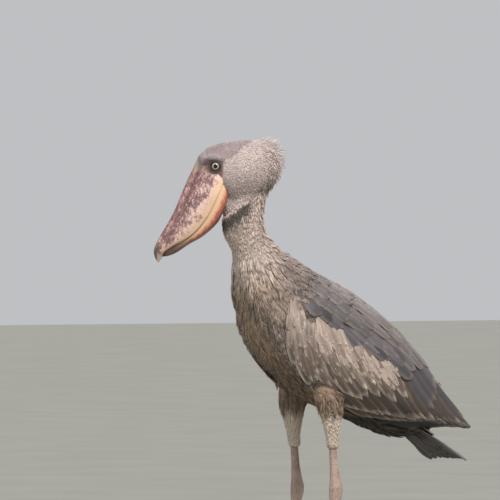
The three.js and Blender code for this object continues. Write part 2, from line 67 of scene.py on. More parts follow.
def to_head(points):
    return (np.asarray(points, float) - HEAD_PLACE) @ TURN


low, high = (np.array(c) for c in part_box("eye_left"))
SHIFT = (low + high) / 2 / MM - from_head(EYE_PLACE)
SHIFT[0] = SHIFT[2] = 0


# Curves and lofted surfaces

def unit(v):
    return v / np.maximum(np.linalg.norm(v, axis=-1, keepdims=True), 1e-9)


def rise(x, a, b):
    """0 below a and 1 above b, smooth between them."""
    t = np.clip((np.asarray(x, float) - a) / (b - a), 0, 1)
    return t * t * (3 - 2 * t)


def fall(x, a, b):
    """1 below a and 0 above b, smooth between them."""
    return rise(-np.asarray(x, float), -b, -a)


def grid_of(a, b):
    return np.meshgrid(a, b, indexing="ij")


def circle(sides):
    return np.arange(sides) * 2 * np.pi / sides


def spline(rows):
    """A smooth curve through the rows, for t from 0 to 1."""
    rows = np.asarray(rows, float)
    last = len(rows) - 1
    full = np.vstack([2 * rows[0] - rows[1], rows, 2 * rows[-1] - rows[-2]])

    def at(t):
        along = np.asarray(t, float) * last
        i = np.clip(np.floor(along).astype(int), 0, last - 1)
        w = (along - i)[..., None]
        before, start, end, after = full[i], full[i + 1], full[i + 2], full[i + 3]
        leaving, arriving = (end - before) / 2, (after - start) / 2
        cubic = 2 * start - 2 * end + leaving + arriving
        square = 3 * end - 3 * start - 2 * leaving - arriving
        return ((cubic * w + square) * w + leaving) * w + start

    return at


def run(values, t):
    """A smooth run of single values."""
    return spline([[v] for v in values])(t)[:, 0]


def bend(v, squareness):
    return np.sign(v) * np.abs(v) ** (2 / squareness)


def loft_surface(stations, squareness=2.0, upright=False):
    """Rings round stations of (y, z, half width, half depth): a surface of (t, phi, proud)."""
    at = spline(stations)

    def surface(t, phi, proud=0.0):
        t, phi, proud = np.broadcast_arrays(np.asarray(t, float), phi, proud)
        here, ahead, behind = at(t), at(t + 1e-3), at(t - 1e-3)
        zero = np.zeros_like(t)
        if upright:
            up = np.stack([zero, zero, zero + 1], -1)
        else:
            way = ahead - behind
            up = unit(np.stack([zero, -way[..., 1], way[..., 0]], -1))
        centre = np.stack([zero, here[..., 0], here[..., 1]], -1)
        wide = (here[..., 2] + proud) * bend(np.sin(phi), squareness)
        deep = (here[..., 3] + proud) * bend(np.cos(phi), squareness)
        return centre + wide[..., None] * np.array([1.0, 0, 0]) + deep[..., None] * up

    return surface


def tube_surface(stations, turn=0.0):
    """The same round stations of (x, y, z, half width, half depth)."""
    at = spline(stations)

    def surface(t, phi, proud=0.0):
        t, phi, proud = np.broadcast_arrays(np.asarray(t, float), phi, proud)
        here = at(t)
        along = unit(at(t + 1e-3)[..., :3] - at(t - 1e-3)[..., :3])
        side = np.stack([np.cos(turn * t), np.sin(turn * t), np.zeros_like(t)], -1)
        across = unit(side - along * (side * along).sum(-1, keepdims=True))
        up = np.cross(across, along)
        wide = ((here[..., 3] + proud) * np.sin(phi))[..., None]
        deep = ((here[..., 4] + proud) * np.cos(phi))[..., None]
        return here[..., :3] + wide * across + deep * up

    return surface


TORSO_STATIONS = [
    [-146, 735, 37, 40], [-110, 663, 74, 70], [-58, 601, 97, 99], [15, 540, 105, 110],
    [98, 487, 94, 102], [170, 434, 72, 80], [228, 397, 52, 54], [262, 373, 22, 20],
]
WING_STATIONS = [
    [-128, 668, 86, 76], [-72, 596, 111, 106], [8, 533, 125, 122], [104, 478, 122, 112],
    [196, 430, 92, 86], [286, 392, 54, 48], [361, 364, 24, 18],
]
NECK_STATIONS = [
    [0, -92, 652, 48, 48], [0, -126, 698, 41, 43], [0, -148, 735, 38, 41],
    [0, -160, 772, 37, 42], [-1, -153, 806, 35, 39], [-2, -138, 836, 33, 34],
    [-3, -124, 862, 30, 30],
]
HEAD_STATIONS = [
    [-107, 897, 10, 5], [-100, 893, 30, 15], [-84, 888, 42, 32], [-62, 875, 51, 52],
    [-36, 868, 57, 63], [-8, 872, 56, 61], [20, 878, 49, 55], [40, 881, 37, 43],
    [50, 881, 20, 26], [54, 881, 6, 8],
]
UPPER_STATIONS = [
    [-88, 905, -50, 868, 40], [-104, 899, -59, 854, 46], [-116, 876, -64, 838, 50],
    [-127, 853, -73, 822, 53], [-137, 830, -82, 803, 53], [-148, 803, -95, 780, 50],
    [-161, 777, -113, 757, 44], [-173, 757, -134, 740, 35], [-184, 738, -156, 727, 24],
    [-191, 720, -171, 716, 14], [-189, 706, -177, 704, 8], [-184, 697, -181, 696, 2.5],
]
LOWER_STATIONS = [
    [-56, 858, -44, 826, 42], [-62, 838, -55, 800, 47], [-71, 822, -60, 789, 50],
    [-80, 803, -68, 774, 50], [-93, 780, -82, 759, 47], [-111, 757, -101, 744, 41],
    [-132, 740, -124, 731, 32], [-152, 728, -146, 716, 21],
    [-166, 722, -162, 709, 13], [-176, 717, -174, 707, 5],
]
UPPER_SECTION = [
    [0, 1], [0.1, 0.99], [0.17, 0.95], [0.22, 0.86], [0.3, 0.815], [0.55, 0.775], [0.74, 0.66],
    [0.87, 0.48], [0.96, 0.3], [1, 0.14], [1, 0.04], [0.97, 0], [0.9, 0.03], [0.55, 0.1],
]
LOWER_SECTION = [
    [0, 0.1], [0.55, 0.1], [0.9, 0.1], [0.95, 0.05], [0.97, -0.12], [0.95, -0.35],
    [0.86, -0.68], [0.7, -0.87], [0.5, -0.98], [0.25, -0.98], [0, -0.94],
]

WING_TUCK = 11  # how far the wing's lower edge is drawn in
LEG_PLACE = 70

torso_surface = loft_surface(TORSO_STATIONS)
neck_surface = tube_surface(NECK_STATIONS, HEAD_TURN)
head_surface = loft_surface(HEAD_STATIONS, upright=True)
wing_envelope = loft_surface(WING_STATIONS, 2.2)


def wing_surface(t, phi, proud=0.0):
    """t runs from the shoulder to the tips, phi from the back's middle down to the belly."""
    return wing_envelope(t, phi, proud - WING_TUCK * rise(np.abs(phi), 1.6, 2.4))


def thigh_stations(side):
    x = side * LEG_PLACE
    return [
        [x * 0.62, -16, 505, 32, 36], [x * 0.8, -11, 462, 29, 35], [x * 0.96, -4, 424, 25, 30],
        [x, -2, 390, 19, 23], [x, 0, 358, 13, 15], [x, 2, 334, 10, 11],
    ]


# Meshes

def srgb(*c):
    c = np.asarray(c, float) / 255
    return np.where(c <= 0.04045, c / 12.92, ((c + 0.055) / 1.055) ** 2.4)


def placed(name, data):
    thing = bpy.data.objects.new(name, data)
    bpy.context.scene.collection.objects.link(thing)
    return thing


def make_piece(name, points, faces, colour=None, slot=None, material=None, uvs=None, values=None):
    """A mesh piece from points in the bird's frame in mm, with faces of one size."""
    faces = np.asarray(faces, np.int32)
    count, size = faces.shape
    mesh = bpy.data.meshes.new(name)
    mesh.vertices.add(len(points))
    where = (np.asarray(points) + SHIFT) * MM
    mesh.vertices.foreach_set("co", where.astype(np.float32).ravel())
    mesh.loops.add(count * size)
    mesh.loops.foreach_set("vertex_index", faces.ravel())
    mesh.polygons.add(count)
    mesh.polygons.foreach_set("loop_start", np.arange(count, dtype=np.int32) * size)
    mesh.update(calc_edges=True)
    mesh.validate()
    mesh.polygons.foreach_set("use_smooth", np.ones(count, bool))
    if colour is not None:
        layer = mesh.attributes.new("Col", "FLOAT_COLOR", "POINT")
        rgba = np.ones((len(points), 4), np.float32)
        rgba[:, :3] = colour
        layer.data.foreach_set("color", rgba.ravel())
    for key, data in (values or {}).items():
        layer = mesh.attributes.new(key, "FLOAT", "POINT")
        layer.data.foreach_set("value", np.asarray(data, np.float32))
    for key, data in (uvs or {}).items():
        layer = mesh.uv_layers.new(name=key)
        layer.uv.foreach_set("vector", np.asarray(data, np.float32)[faces.ravel()].ravel())
    piece = placed(name, mesh)
    if material:
        mesh.materials.append(material)
    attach(piece, "root")
    return piece


def two_faces(a, b, c, d):
    """Two triangles for each four corners."""
    return np.concatenate([np.stack([a, b, c], -1).reshape(-1, 3), np.stack([a, c, d], -1).reshape(-1, 3)])


def skin_rings(rings, closed_ends=True):
    """Points and triangles through rings of shape (rows, sides, 3), with a fan over each end."""
    rows, sides = rings.shape[:2]
    points = rings.reshape(-1, 3)
    r, s = grid_of(np.arange(rows - 1), np.arange(sides))
    a, b = r * sides + s, r * sides + (s + 1) % sides
    c, d = a + sides, b + sides
    faces = two_faces(a, b, d, c)
    if closed_ends:
        first, last = len(points), len(points) + 1
        points = np.vstack([points, rings[0].mean(0), rings[-1].mean(0)])
        s = np.arange(sides)
        n = (s + 1) % sides
        end = (rows - 1) * sides
        faces = np.concatenate([
            faces,
            np.stack([np.full(sides, first), n, s], -1),
            np.stack([np.full(sides, last), end + s, end + n], -1),
        ])
    return points, faces


def loft(surface, rows, sides):
    t, phi = grid_of(np.linspace(0, 1, rows), circle(sides))
    return skin_rings(surface(t, phi))


def merged(parts):
    points, faces, start = [], [], 0
    for p, f in parts:
        points.append(p)
        faces.append(f + start)
        start += len(p)
    return np.vstack(points), np.vstack(faces)


def outwards(points, faces):
    """The faces turned so that the closed surface's volume is positive."""
    a, b, c = (points[faces[:, k]] for k in range(3))
    volume = (a * np.cross(b, c)).sum()
    return faces if volume > 0 else faces[:, ::-1]


def remeshed(points, faces, voxel, smooth):
    """One closed surface round all the given ones: its points, quads and outward normals."""
    mesh = bpy.data.meshes.new("scratch")
    mesh.from_pydata([tuple(p) for p in points * MM], [], [tuple(int(i) for i in f) for f in faces])
    scratch = placed("scratch", mesh)
    step = scratch.modifiers.new("voxels", "REMESH")
    step.mode = "VOXEL"
    step.voxel_size = voxel * MM
    step = scratch.modifiers.new("smooth", "SMOOTH")
    step.factor = 0.5
    step.iterations = smooth
    bpy.context.view_layer.update()
    graph = bpy.context.evaluated_depsgraph_get()
    done = bpy.data.meshes.new_from_object(scratch.evaluated_get(graph))
    count = len(done.vertices)
    co = np.empty(count * 3, np.float32)
    done.vertices.foreach_get("co", co)
    normal = np.empty(count * 3, np.float32)
    done.vertices.foreach_get("normal", normal)
    quads = np.empty(len(done.polygons) * 4, np.int32)
    done.loops.foreach_get("vertex_index", quads)
    bpy.data.objects.remove(scratch)
    bpy.data.meshes.remove(mesh)
    bpy.data.meshes.remove(done)
    return co.reshape(-1, 3).astype(float) / MM, quads.reshape(-1, 4), normal.reshape(-1, 3).astype(float)


# Skin: one surface over head, neck, torso, thighs and the wings' flesh, from which the feathers grow

WING_COAT = 7.0  # the feathers' depth over the wings' flesh
COAT_DEPTH = 5.0  # the depth by which the body's skin is drawn in under its feathers
JOWL_PLACE, JOWL_RADII = np.array([0, -50, 818]), np.array([33, 22, 29])
SKIN_VOXEL, SKIN_SMOOTHING = 3.2, 8


def headed(mesh):
    return from_head(mesh[0]), mesh[1]


def brow(side):
    at = spline([[44, -98, 897, 4], [47, -84, 900, 7], [50, -68, 898, 7], [52, -50, 890, 4]])
    t, phi = grid_of(np.linspace(0, 1, 12), circle(12))
    x, y, z, thick = np.moveaxis(at(t), -1, 0)
    return skin_rings(np.stack([side * (x - 4 + thick * np.cos(phi)), y, z + thick * np.sin(phi)], -1))


def egg(centre, radii):
    t, phi = grid_of(np.linspace(0.01, np.pi - 0.01, 24), circle(32))
    return skin_rings(np.stack([np.sin(t) * np.cos(phi), np.sin(t) * np.sin(phi), np.cos(t)], -1) * radii + centre)


def wing_core(side):
    """The wing's flesh: a sheet under its feathers, thick at the shoulder."""
    share = np.linspace(0, 1, 60)
    top = run([40, 20, 14, 14, 18, 30, 72], share) + 3
    bottom = run([108, 145, 150, 149, 138, 126, 100], share) - 4
    thick = run([22, 26, 24, 18, 11, 7, 5], share)
    phi = np.radians(top[:, None] + (bottom - top)[:, None] * np.linspace(0, 1, 40))
    sunk = -WING_COAT - 26 * (1 - rise(share, 0.0, 0.16))[:, None]
    t = 0.9 * share[:, None]
    outside, inside = wing_surface(t, phi, sunk), wing_surface(t, phi, sunk - thick[:, None])
    return skin_rings(np.concatenate([outside, inside[:, ::-1]], 1) * np.array([side, 1, 1]))


flesh = [
    headed(loft(head_surface, 40, 48)),
    loft(neck_surface, 40, 40),
    loft(torso_surface, 60, 64),
    headed(brow(1)), headed(brow(-1)),
    headed(egg(JOWL_PLACE, JOWL_RADII)),
    wing_core(1), wing_core(-1),
    *(loft(tube_surface(thigh_stations(side)), 24, 24) for side, _ in SIDES),
]
flesh = [(p, outwards(p, f)) for p, f in flesh]
skin_points, skin_quads, skin_normals = remeshed(*merged(flesh), SKIN_VOXEL, SKIN_SMOOTHING)


# Places on the body: shares from 0 to 1, and heights over sloping lines

def jaw_height(h):
    """The height over a line that rises from the mouth's corner to the nape."""
    return h[..., 2] - 826 - 0.65 * h[..., 1]


def neck_height(p):
    return p[..., 2] - 0.2 * p[..., 1]


def back_height(p):
    """The height over a line that falls along the back."""
    return p[..., 2] + 0.62 * p[..., 1]


def head_share(p):
    return rise(jaw_height(to_head(p)), -7, 8)


def thigh_share(p):
    beside = fall(np.abs(np.abs(p[..., 0]) - 68), 36, 52)
    return fall(p[..., 2], 420, 448) * beside * fall(p[..., 1], 30, 60)


def front_share(p):
    return rise(-p[..., 1] - 0.9 * (p[..., 2] - 600), -40, 60)


def eye_distance(h):
    """How far a point of the head is from the eye, seen from the side."""
    return np.hypot(h[..., 1] - EYE_PLACE[1], h[..., 2] - EYE_PLACE[2])


def bare_share(p):
    """1 on the bare skin round the eye and in front of it."""
    h = to_head(p)
    near = eye_distance(h + np.array([0, 4.0, 5.0]))
    face = fall(near, 20, 25) * rise(np.abs(h[..., 0]), 18, 26)
    face = face * fall(h[..., 2], 889, 897) * fall(h[..., 1], -64, -56)
    return face * head_share(p)


def kd_tree(points):
    tree = KDTree(len(points))
    for k, point in enumerate(points):
        tree.insert(point, k)
    tree.balance()
    return tree


# Where each skin point lies on the wings: its distance from their flesh, and its (t, phi)
wing_t, wing_phi = grid_of(np.linspace(0, 0.92, 110), np.radians(np.linspace(14, 152, 90)))
wing_tree = kd_tree(wing_surface(wing_t, wing_phi, -WING_COAT).reshape(-1, 3))
found = [wing_tree.find((abs(x), y, z)) for x, y, z in skin_points]
wing_distance = np.array([f[2] for f in found])
wing_index = np.array([f[1] for f in found])
skin_t = wing_t.ravel()[wing_index]
skin_phi = np.degrees(wing_phi.ravel()[wing_index])
on_wing = fall(wing_distance, 4, 9)

# The skin is drawn in by its feathers' depth, less at the head, the throat and the ankles
depth = COAT_DEPTH * (1 - 0.72 * head_share(skin_points)) - 1.5 * thigh_share(skin_points)
depth = depth * (1 - on_wing)
depth = depth * rise(skin_points[:, 2], 330, 372)
skin_head = to_head(skin_points)
jaw_line = jaw_height(skin_head)
# A band on the neck just under the jaw, darkened below as a painted shadow of the jaw
painted_jaw_shadow = rise(jaw_line, -40, -14) * fall(jaw_line, -4, 1) * fall(skin_head[:, 1], -14, 14)
throat = rise(jaw_line, -75, -40) * fall(jaw_line, -8, 0) * fall(skin_head[:, 1], -24, 6)
depth = depth - 3.6 * throat
skin_points = skin_points - skin_normals * depth[:, None]
skin_head = to_head(skin_points)
skin_tree = BVHTree.FromPolygons(skin_points.tolist(), skin_quads.tolist())

# The line that the feathers follow: down the neck and on along the torso
line_t = np.linspace(0, 1, 60)
neck_line = spline(NECK_STATIONS)(line_t[::-1])[:, :3]
torso_line = spline(TORSO_STATIONS)(line_t)
torso_line = np.stack([0 * line_t, torso_line[:, 0], torso_line[:, 1]], -1)
course = np.vstack([neck_line[:48], torso_line[4:]])
course_way = unit(np.gradient(course, axis=0))


def flow(p):
    """The direction in which feathers lie at points on the skin, before it is made tangent."""
    near = ((p[:, None] - course) ** 2).sum(-1)
    near = np.exp(-(near - near.min(1, keepdims=True)) / 900)
    way = unit((near[..., None] * course_way).sum(1))
    h = to_head(p)
    crown = rise(h[:, 2], 850, 925)
    back = rise(h[:, 1], 0, 45)
    head_way = np.stack([0 * crown, 1 - 0.6 * back, -0.95 + 0.9 * crown - 0.75 * back * (1 - crown)], -1)
    head_way = unit(head_way) @ TURN.T
    share = head_share(p)[:, None]
    way = way * (1 - share) + head_way * share
    side_on = rise(np.abs(p[:, 0]), 60, 105) * fall(p[:, 2], 640, 690)
    way = unit(way + np.array([0, 0, -0.55]) * side_on[:, None])
    share = thigh_share(p)[:, None]
    return unit(way * (1 - share) + np.array([0, 0.1, -1.0]) * share)


# Colours, from impressions of the photograph
PINK_GREY = srgb(206, 190, 186)
CHEEK = srgb(190, 174, 169)
CROWN = srgb(170, 155, 156)
NECK_BEIGE = srgb(206, 188, 177)
NECK_SHADE = srgb(170, 152, 144)
BREAST = srgb(178, 153, 129)
MANTLE = srgb(128, 118, 114)
MANTLE_BROWN = srgb(132, 122, 115)
SLATE = srgb(76, 72, 76)
DARK = srgb(54, 51, 53)
# Painted shade: the near-black of the underside beneath the wing and of the flesh under the wing's feathers
UNDER_SHADE = srgb(46, 40, 36)
COVERT = srgb(118, 103, 95)
COVERT_FRINGE = srgb(226, 208, 191)
SECONDARY = srgb(80, 68, 62)
WING_SOFT = srgb(144, 129, 121)
DOWNY = srgb(154, 139, 130)
THIGH = srgb(214, 198, 182)
BELLY = srgb(120, 99, 80)
BARE = srgb(120, 92, 90)
BARE_DARK = srgb(72, 54, 54)


def mix(a, b, share):
    share = np.asarray(share)[..., None]
    return a * (1 - share) + b * share


def plumage_colour(p):
    h = to_head(p)
    y, z = p[..., 1], p[..., 2]
    crown_edge = h[..., 1] - 1.35 * (h[..., 2] - 890) + 62
    crown = fall(crown_edge, -4, 6) * rise(h[..., 2], 868, 886)
    head = mix(mix(PINK_GREY, CHEEK, fall(h[..., 2], 840, 880)), CROWN, crown)
    neck = mix(NECK_BEIGE, NECK_SHADE, rise(y, -150, -105) * 0.9)
    front = front_share(p)
    torso = mix(MANTLE, BREAST, front)
    mantle = mix(MANTLE_BROWN, SLATE, rise(y, -60, 60))
    torso = mix(torso, mantle, rise(back_height(p), 575, 640) * (1 - front * 0.4))
    torso = mix(torso, BELLY, fall(z + 0.6 * y, 440, 500) * 0.7)
    torso = mix(torso, SLATE, rise(y, 110, 190) * 0.6)
    colour = mix(mix(neck, torso, fall(neck_height(p), 665, 745)), head, head_share(p))
    return mix(colour, THIGH, thigh_share(p) * fall(z, 390, 425))


# Materials

class Shading:
    """A material; each method adds a node to it and gives the node's output."""

    def __init__(self, name):
        self.material = bpy.data.materials.new(name)
        self.material.use_nodes = True
        self.nodes = self.material.node_tree.nodes
        self.inputs = self.nodes["Principled BSDF"].inputs

    def put(self, value, socket):
        if hasattr(value, "is_linked"):
            self.material.node_tree.links.new(value, socket)
        elif socket.type == "RGBA":
            socket.default_value = (*np.broadcast_to(value, 3), 1)
        else:
            socket.default_value = value

    def node(self, kind, output, values, **settings):
        node = self.nodes.new("ShaderNode" + kind)
        for key, value in settings.items():
            setattr(node, key, value)
        for socket, value in values.items():
            self.put(value, node.inputs[socket])
        return node.outputs[output]

    def where(self):
        return self.node("TexCoord", "Object", {})

    def attribute(self, name, output="Color"):
        return self.node("Attribute", output, {}, attribute_name=name)

    def noise(self, scale, detail, vector=None, roughness=0.55):
        vector = self.where() if vector is None else vector
        values = {"Scale": scale, "Detail": detail, "Roughness": roughness, "Vector": vector}
        return self.node("TexNoise", "Fac", values)

    def cell_edges(self, scale):
        values = {"Scale": scale, "Vector": self.where()}
        return self.node("TexVoronoi", "Distance", values, feature="DISTANCE_TO_EDGE")

    def ramp(self, source, *stops):
        node = self.nodes.new("ShaderNodeValToRGB")
        elements = node.color_ramp.elements
        while len(elements) < len(stops):
            elements.new(0.5)
        for element, (place, colour) in zip(elements, stops):
            element.position = place
            element.color = (*np.broadcast_to(colour, 3), 1)
        self.put(source, node.inputs["Fac"])
        return node.outputs["Color"]

    def blend(self, kind, factor, a, b):
        return self.node("Mix", 2, {0: factor, 6: a, 7: b}, data_type="RGBA", blend_type=kind)

    def layered(self, colour, layers):
        """Colours laid over the first one, each with its mask."""
        for mask, tint in layers:
            colour = self.blend("MIX", mask, colour, tint)
        return colour

    def maths(self, operation, *values):
        return self.node("Math", 0, dict(enumerate(values)), operation=operation)

    def finished(self, values, height=None, strength=0.0, distance=0.0):
        """The material with its shader's inputs set, and with relief from a height if one is given."""
        for socket, value in values.items():
            self.put(value, self.inputs[socket])
        if height is not None:
            values = {"Strength": strength, "Distance": distance, "Height": height}
            self.put(self.node("Bump", "Normal", values), self.inputs["Normal"])
        return self.material


def feather_material(name, roughness, sheen, grain_share):
    """Barbs slanting off the shaft, fine grain, and soft patches wider than a feather."""
    g = Shading(name)
    local = g.node("UVMap", "UV", {}, uv_map="Barb")
    slant = g.maths("ABSOLUTE", g.node("SeparateXYZ", "X", {0: local}))
    along = g.maths("SUBTRACT", g.node("SeparateXYZ", "Y", {0: local}), slant)
    barbs = g.maths("SINE", g.maths("MULTIPLY", along, 7.0))
    colour = g.attribute("Col")
    for share, shade in (
        (grain_share, g.ramp(g.noise(420, 2), (0.3, 0.72), (0.7, 1.2))),
        (1.0, g.ramp(g.noise(26, 3), (0.32, 0.86), (0.68, 1.1))),
        (0.5, g.ramp(g.maths("MULTIPLY_ADD", barbs, 0.5), (0.0, 0.9), (1.0, 1.05))),
    ):
        colour = g.blend("MULTIPLY", share, colour, shade)
    return g.finished({
        "Base Color": colour, "Roughness": roughness, "Sheen Weight": sheen, "Sheen Roughness": 0.5,
        "Specular IOR Level": 0.3,
    }, barbs, 0.25, 0.0004)


BODY_DOWN = feather_material("body_feathers", 0.85, 0.12, 0.45)
VANES = feather_material("wing_feathers", 0.6, 0.05, 0.5)
HEAD_DOWN = feather_material("head_feathers", 0.85, 0.12, 0.25)

g = Shading("skin")
folds = g.noise(210, 4)
SKIN = g.finished({
    "Base Color": g.blend("MULTIPLY", 0.8, g.attribute("Col"), g.ramp(folds, (0.3, 0.7), (0.7, 1.15))),
    "Roughness": 0.6,
}, g.maths("ADD", g.cell_edges(620), folds), 0.5, 0.0012)

# The feathers' colours at the skin points, with a painted shadow under the jaw and painted shade under the wing; and
# the skin's own: darker as painted shade under the feathers, and bare round the eye
not_head = head_share(skin_points) < 0.1
coat_colour = plumage_colour(skin_points)
edge_phi = np.interp(skin_t, [0, 0.075, 0.195, 0.315, 0.4, 0.6], [96, 98, 90, 86, 83, 82])
covert_share = rise(skin_phi - edge_phi, -5, 5)
wing_tone = mix(MANTLE, SLATE, rise(skin_t, 0.05, 0.3))
wing_tone = mix(wing_tone, WING_SOFT, covert_share * rise(skin_t, 0.0, 0.1))
# The wing's flesh under its vanes is darkened: painted shade beneath the feathers
wing_tone = mix(wing_tone, UNDER_SHADE * 0.7, rise(skin_t, 0.22, 0.36))
shoulder = on_wing * rise(skin_t, 0.0, 0.09) * not_head
coat_colour = mix(coat_colour, wing_tone, shoulder)
# The lower back beneath the wing, off the wing and the thighs, is made nearly black: painted shade under the wing
painted_under_shade = rise(skin_points[:, 1], 0, 45) * fall(back_height(skin_points), 475, 535)
painted_under_shade = painted_under_shade * (1 - on_wing) * (1 - thigh_share(skin_points))
coat_colour = mix(coat_colour, UNDER_SHADE, painted_under_shade * 0.9)
beside = fall(wing_distance, 10, 30) * rise(back_height(skin_points), 470, 540) * (1 - shoulder)
coat_colour = mix(coat_colour, mix(MANTLE, NECK_SHADE, 0.4), 0.6 * beside * not_head)
# The coat is darkened just under the jaw: a painted shadow of the jaw on the neck
coat_colour = coat_colour * (1 - 0.84 * painted_jaw_shadow)[:, None]
bare = bare_share(skin_points)
bare_colour = mix(BARE, BARE_DARK, fall(eye_distance(skin_head), 10, 17))
# The skin under the feathers is darkened: painted shade
skin_colour = mix(coat_colour * 0.8, bare_colour, bare)
skin = make_piece("skin", skin_points, skin_quads, skin_colour, "pale_plumage", SKIN)
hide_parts("head", "neck", "torso", "thigh_left", "thigh_right")


# Body feathers: each lies along the skin, as a small leaf with loose barbs

def unwrap(p):
    """A point's place on an unwrap of the skin: round the body's line and along it."""
    near = ((p[:, None] - course[::3]) ** 2).sum(-1).argmin(1) * 3
    away = p - course[near]
    angle = np.arctan2(away[:, 0], (away * np.array([0, 0.62, 0.78])).sum(-1))
    along = (near * 8.0 + (away * course_way[near]).sum(-1)) / 1100
    h = to_head(p)
    on_head = head_share(p) > 0.5
    u = 0.5 + np.where(on_head, np.arctan2(h[:, 0], h[:, 2] - 870), angle) / 6.6
    v = np.where(on_head, 0.84 + (h[:, 1] + 110) / 1150, 0.02 + 0.8 * along)
    leg = thigh_share(p) > 0.5
    leg_angle = np.arctan2(p[:, 1] + 4, p[:, 0] - LEG_PLACE * np.sign(p[:, 0]))
    u = np.where(leg, 0.25 * (p[:, 0] > 0) + 0.12 + leg_angle / 60, u)
    v = np.where(leg, (p[:, 2] - 320) / 1200, v)
    return np.stack([np.clip(u, 0.005, 0.99), np.clip(v, 0.005, 0.99)], -1)


LEAF_END = 0.92


def leaf_template(rows, shape, ridge, strands, seed, fan=0.9):
    """A leaf and its loose strands: points of (across in half widths, along, height in mm), and triangles."""
    random = np.random.default_rng(seed)
    points, faces = [], []

    def strip(line):
        first, last = len(points), len(points) + 3 * (len(line) - 1)
        for across, along, height, half, thick in line:
            points.extend([
                (across - half, along, height - thick),
                (across, along, height + thick),
                (across + half, along, height - thick),
            ])
        faces.append((first, first + 1, first + 2))
        for start in range(first, last, 3):
            for j in range(3):
                a, b = start + j, start + (j + 1) % 3
                faces.extend([(a, a + 3, b + 3), (a, b + 3, b)])
        faces.append((last, last + 2, last + 1))

    if rows:
        strip([(0, v, 0, shape(v), ridge) for v in np.linspace(0, LEAF_END, rows)])
    for _ in range(strands):
        side = random.uniform(-1, 1)
        start = random.uniform(0.0, 0.62) if rows else random.uniform(0, 0.1)
        reach = random.uniform(0.3, 0.5) if rows else random.uniform(0.7, 1.0)
        lift = random.uniform(0.0, 1.2)
        wide = random.uniform(0.09, 0.17)
        from_side = side * (shape(start) if rows else 0.25) * 0.8
        to_side = side * fan + random.uniform(-0.15, 0.15)
        strip([
            (from_side, start, -0.3, wide, 0.25),
            (from_side * 0.5 + to_side * 0.5, start + reach * 0.5, 0.3 + lift * 0.5, wide * 0.85, 0.2),
            (to_side, start + reach, 0.2 + lift, wide * 0.2, 0.06),
        ])
    return np.array(points), np.array(faces)


COAT_ROWS = 6  # the places at which a feather's line is laid on the skin
OVERREACH = 1.05  # how far past a feather's length its line goes
ROOT_SINK = 1.0


def sprouted(roots, lengths, widths, lifts, template_of, templates, turn):
    """Feathers laid on the skin from their roots, by template: their numbers, points, faces and local points."""
    here = roots.copy()
    step = lengths * OVERREACH / (COAT_ROWS - 1)
    lines, normals, ways = [], [], []
    for _ in range(COAT_ROWS):
        found = [skin_tree.find_nearest(tuple(q)) for q in here]
        here = np.array([f[0] for f in found])
        normal = np.array([f[1] for f in found])
        way = flow(here)
        way = unit(way + np.cross(normal, way) * turn[:, None])
        way = unit(way - normal * (way * normal).sum(-1, keepdims=True))
        for kept, value in ((lines, here), (normals, normal), (ways, way)):
            kept.append(value)
        here = here + way * step[:, None]
    lines, normals, ways = (np.stack(field, 1) for field in (lines, normals, ways))
    normals = unit(normals + 0.5 * (np.roll(normals, 1, 1) * (np.arange(COAT_ROWS) > 0)[:, None]))
    across = unit(np.cross(normals, ways))
    for index, (local, faces) in enumerate(templates):
        chosen = np.flatnonzero(template_of == index)
        if not len(chosen):
            continue
        v = local[:, 1] / OVERREACH * (COAT_ROWS - 1)
        i = np.clip(np.floor(v).astype(int), 0, COAT_ROWS - 2)
        w = (v - i)[:, None]
        centre, normal, side = (
            field[chosen][:, i] * (1 - w) + field[chosen][:, i + 1] * w for field in (lines, normals, across)
        )
        lift = lifts[chosen][:, None] * rise(local[:, 1], 0.0, 1.0)
        lift = lift - ROOT_SINK * (1 - rise(local[:, 1], 0, 0.25))
        points = centre + unit(side) * (local[:, 0:1] * (widths[chosen] / 2)[:, None, None])
        yield chosen, points + unit(normal) * (local[:, 2] + lift)[..., None], faces, local


def scatter(keep, radius, seed):
    """Evenly spread indices of skin points, radius mm apart, where keep is true."""
    radius = np.broadcast_to(radius, len(skin_points))
    order = np.random.default_rng(seed).permutation(np.flatnonzero(keep))
    tree = kd_tree(skin_points[order])
    dead = np.zeros(len(order), bool)
    chosen = []
    for k, index in enumerate(order):
        if not dead[k]:
            chosen.append(index)
            for _, other, _ in tree.find_range(skin_points[index], radius[index]):
                dead[other] = True
    return np.array(chosen, int)


def feather_maps(local, wide, lengths, places, half, long):
    """Each feather's barb map, and its small patch of the piece's own map."""
    u, v = local[:, 0], local[:, 1]
    along = v * (lengths / 2)[:, None]
    barb = np.stack([np.broadcast_to(u * wide, along.shape), along], -1)
    return barb, places[:, None] + PATCH * np.stack([u * half + 0.5, v / long], -1)


def copies(faces, count, size):
    """The faces of a number of equal meshes of the given size, one after another."""
    return (faces + (np.arange(count) * size)[:, None, None]).reshape(-1, 3)


PIECE_LIMIT = 180000  # triangles
PATCH = 0.003  # a feather's size on the map
SHAFT_WIDTH = 0.28  # in half widths of the feather
STREAK_DEPTH, FRINGE_GAIN = 0.55, 0.45


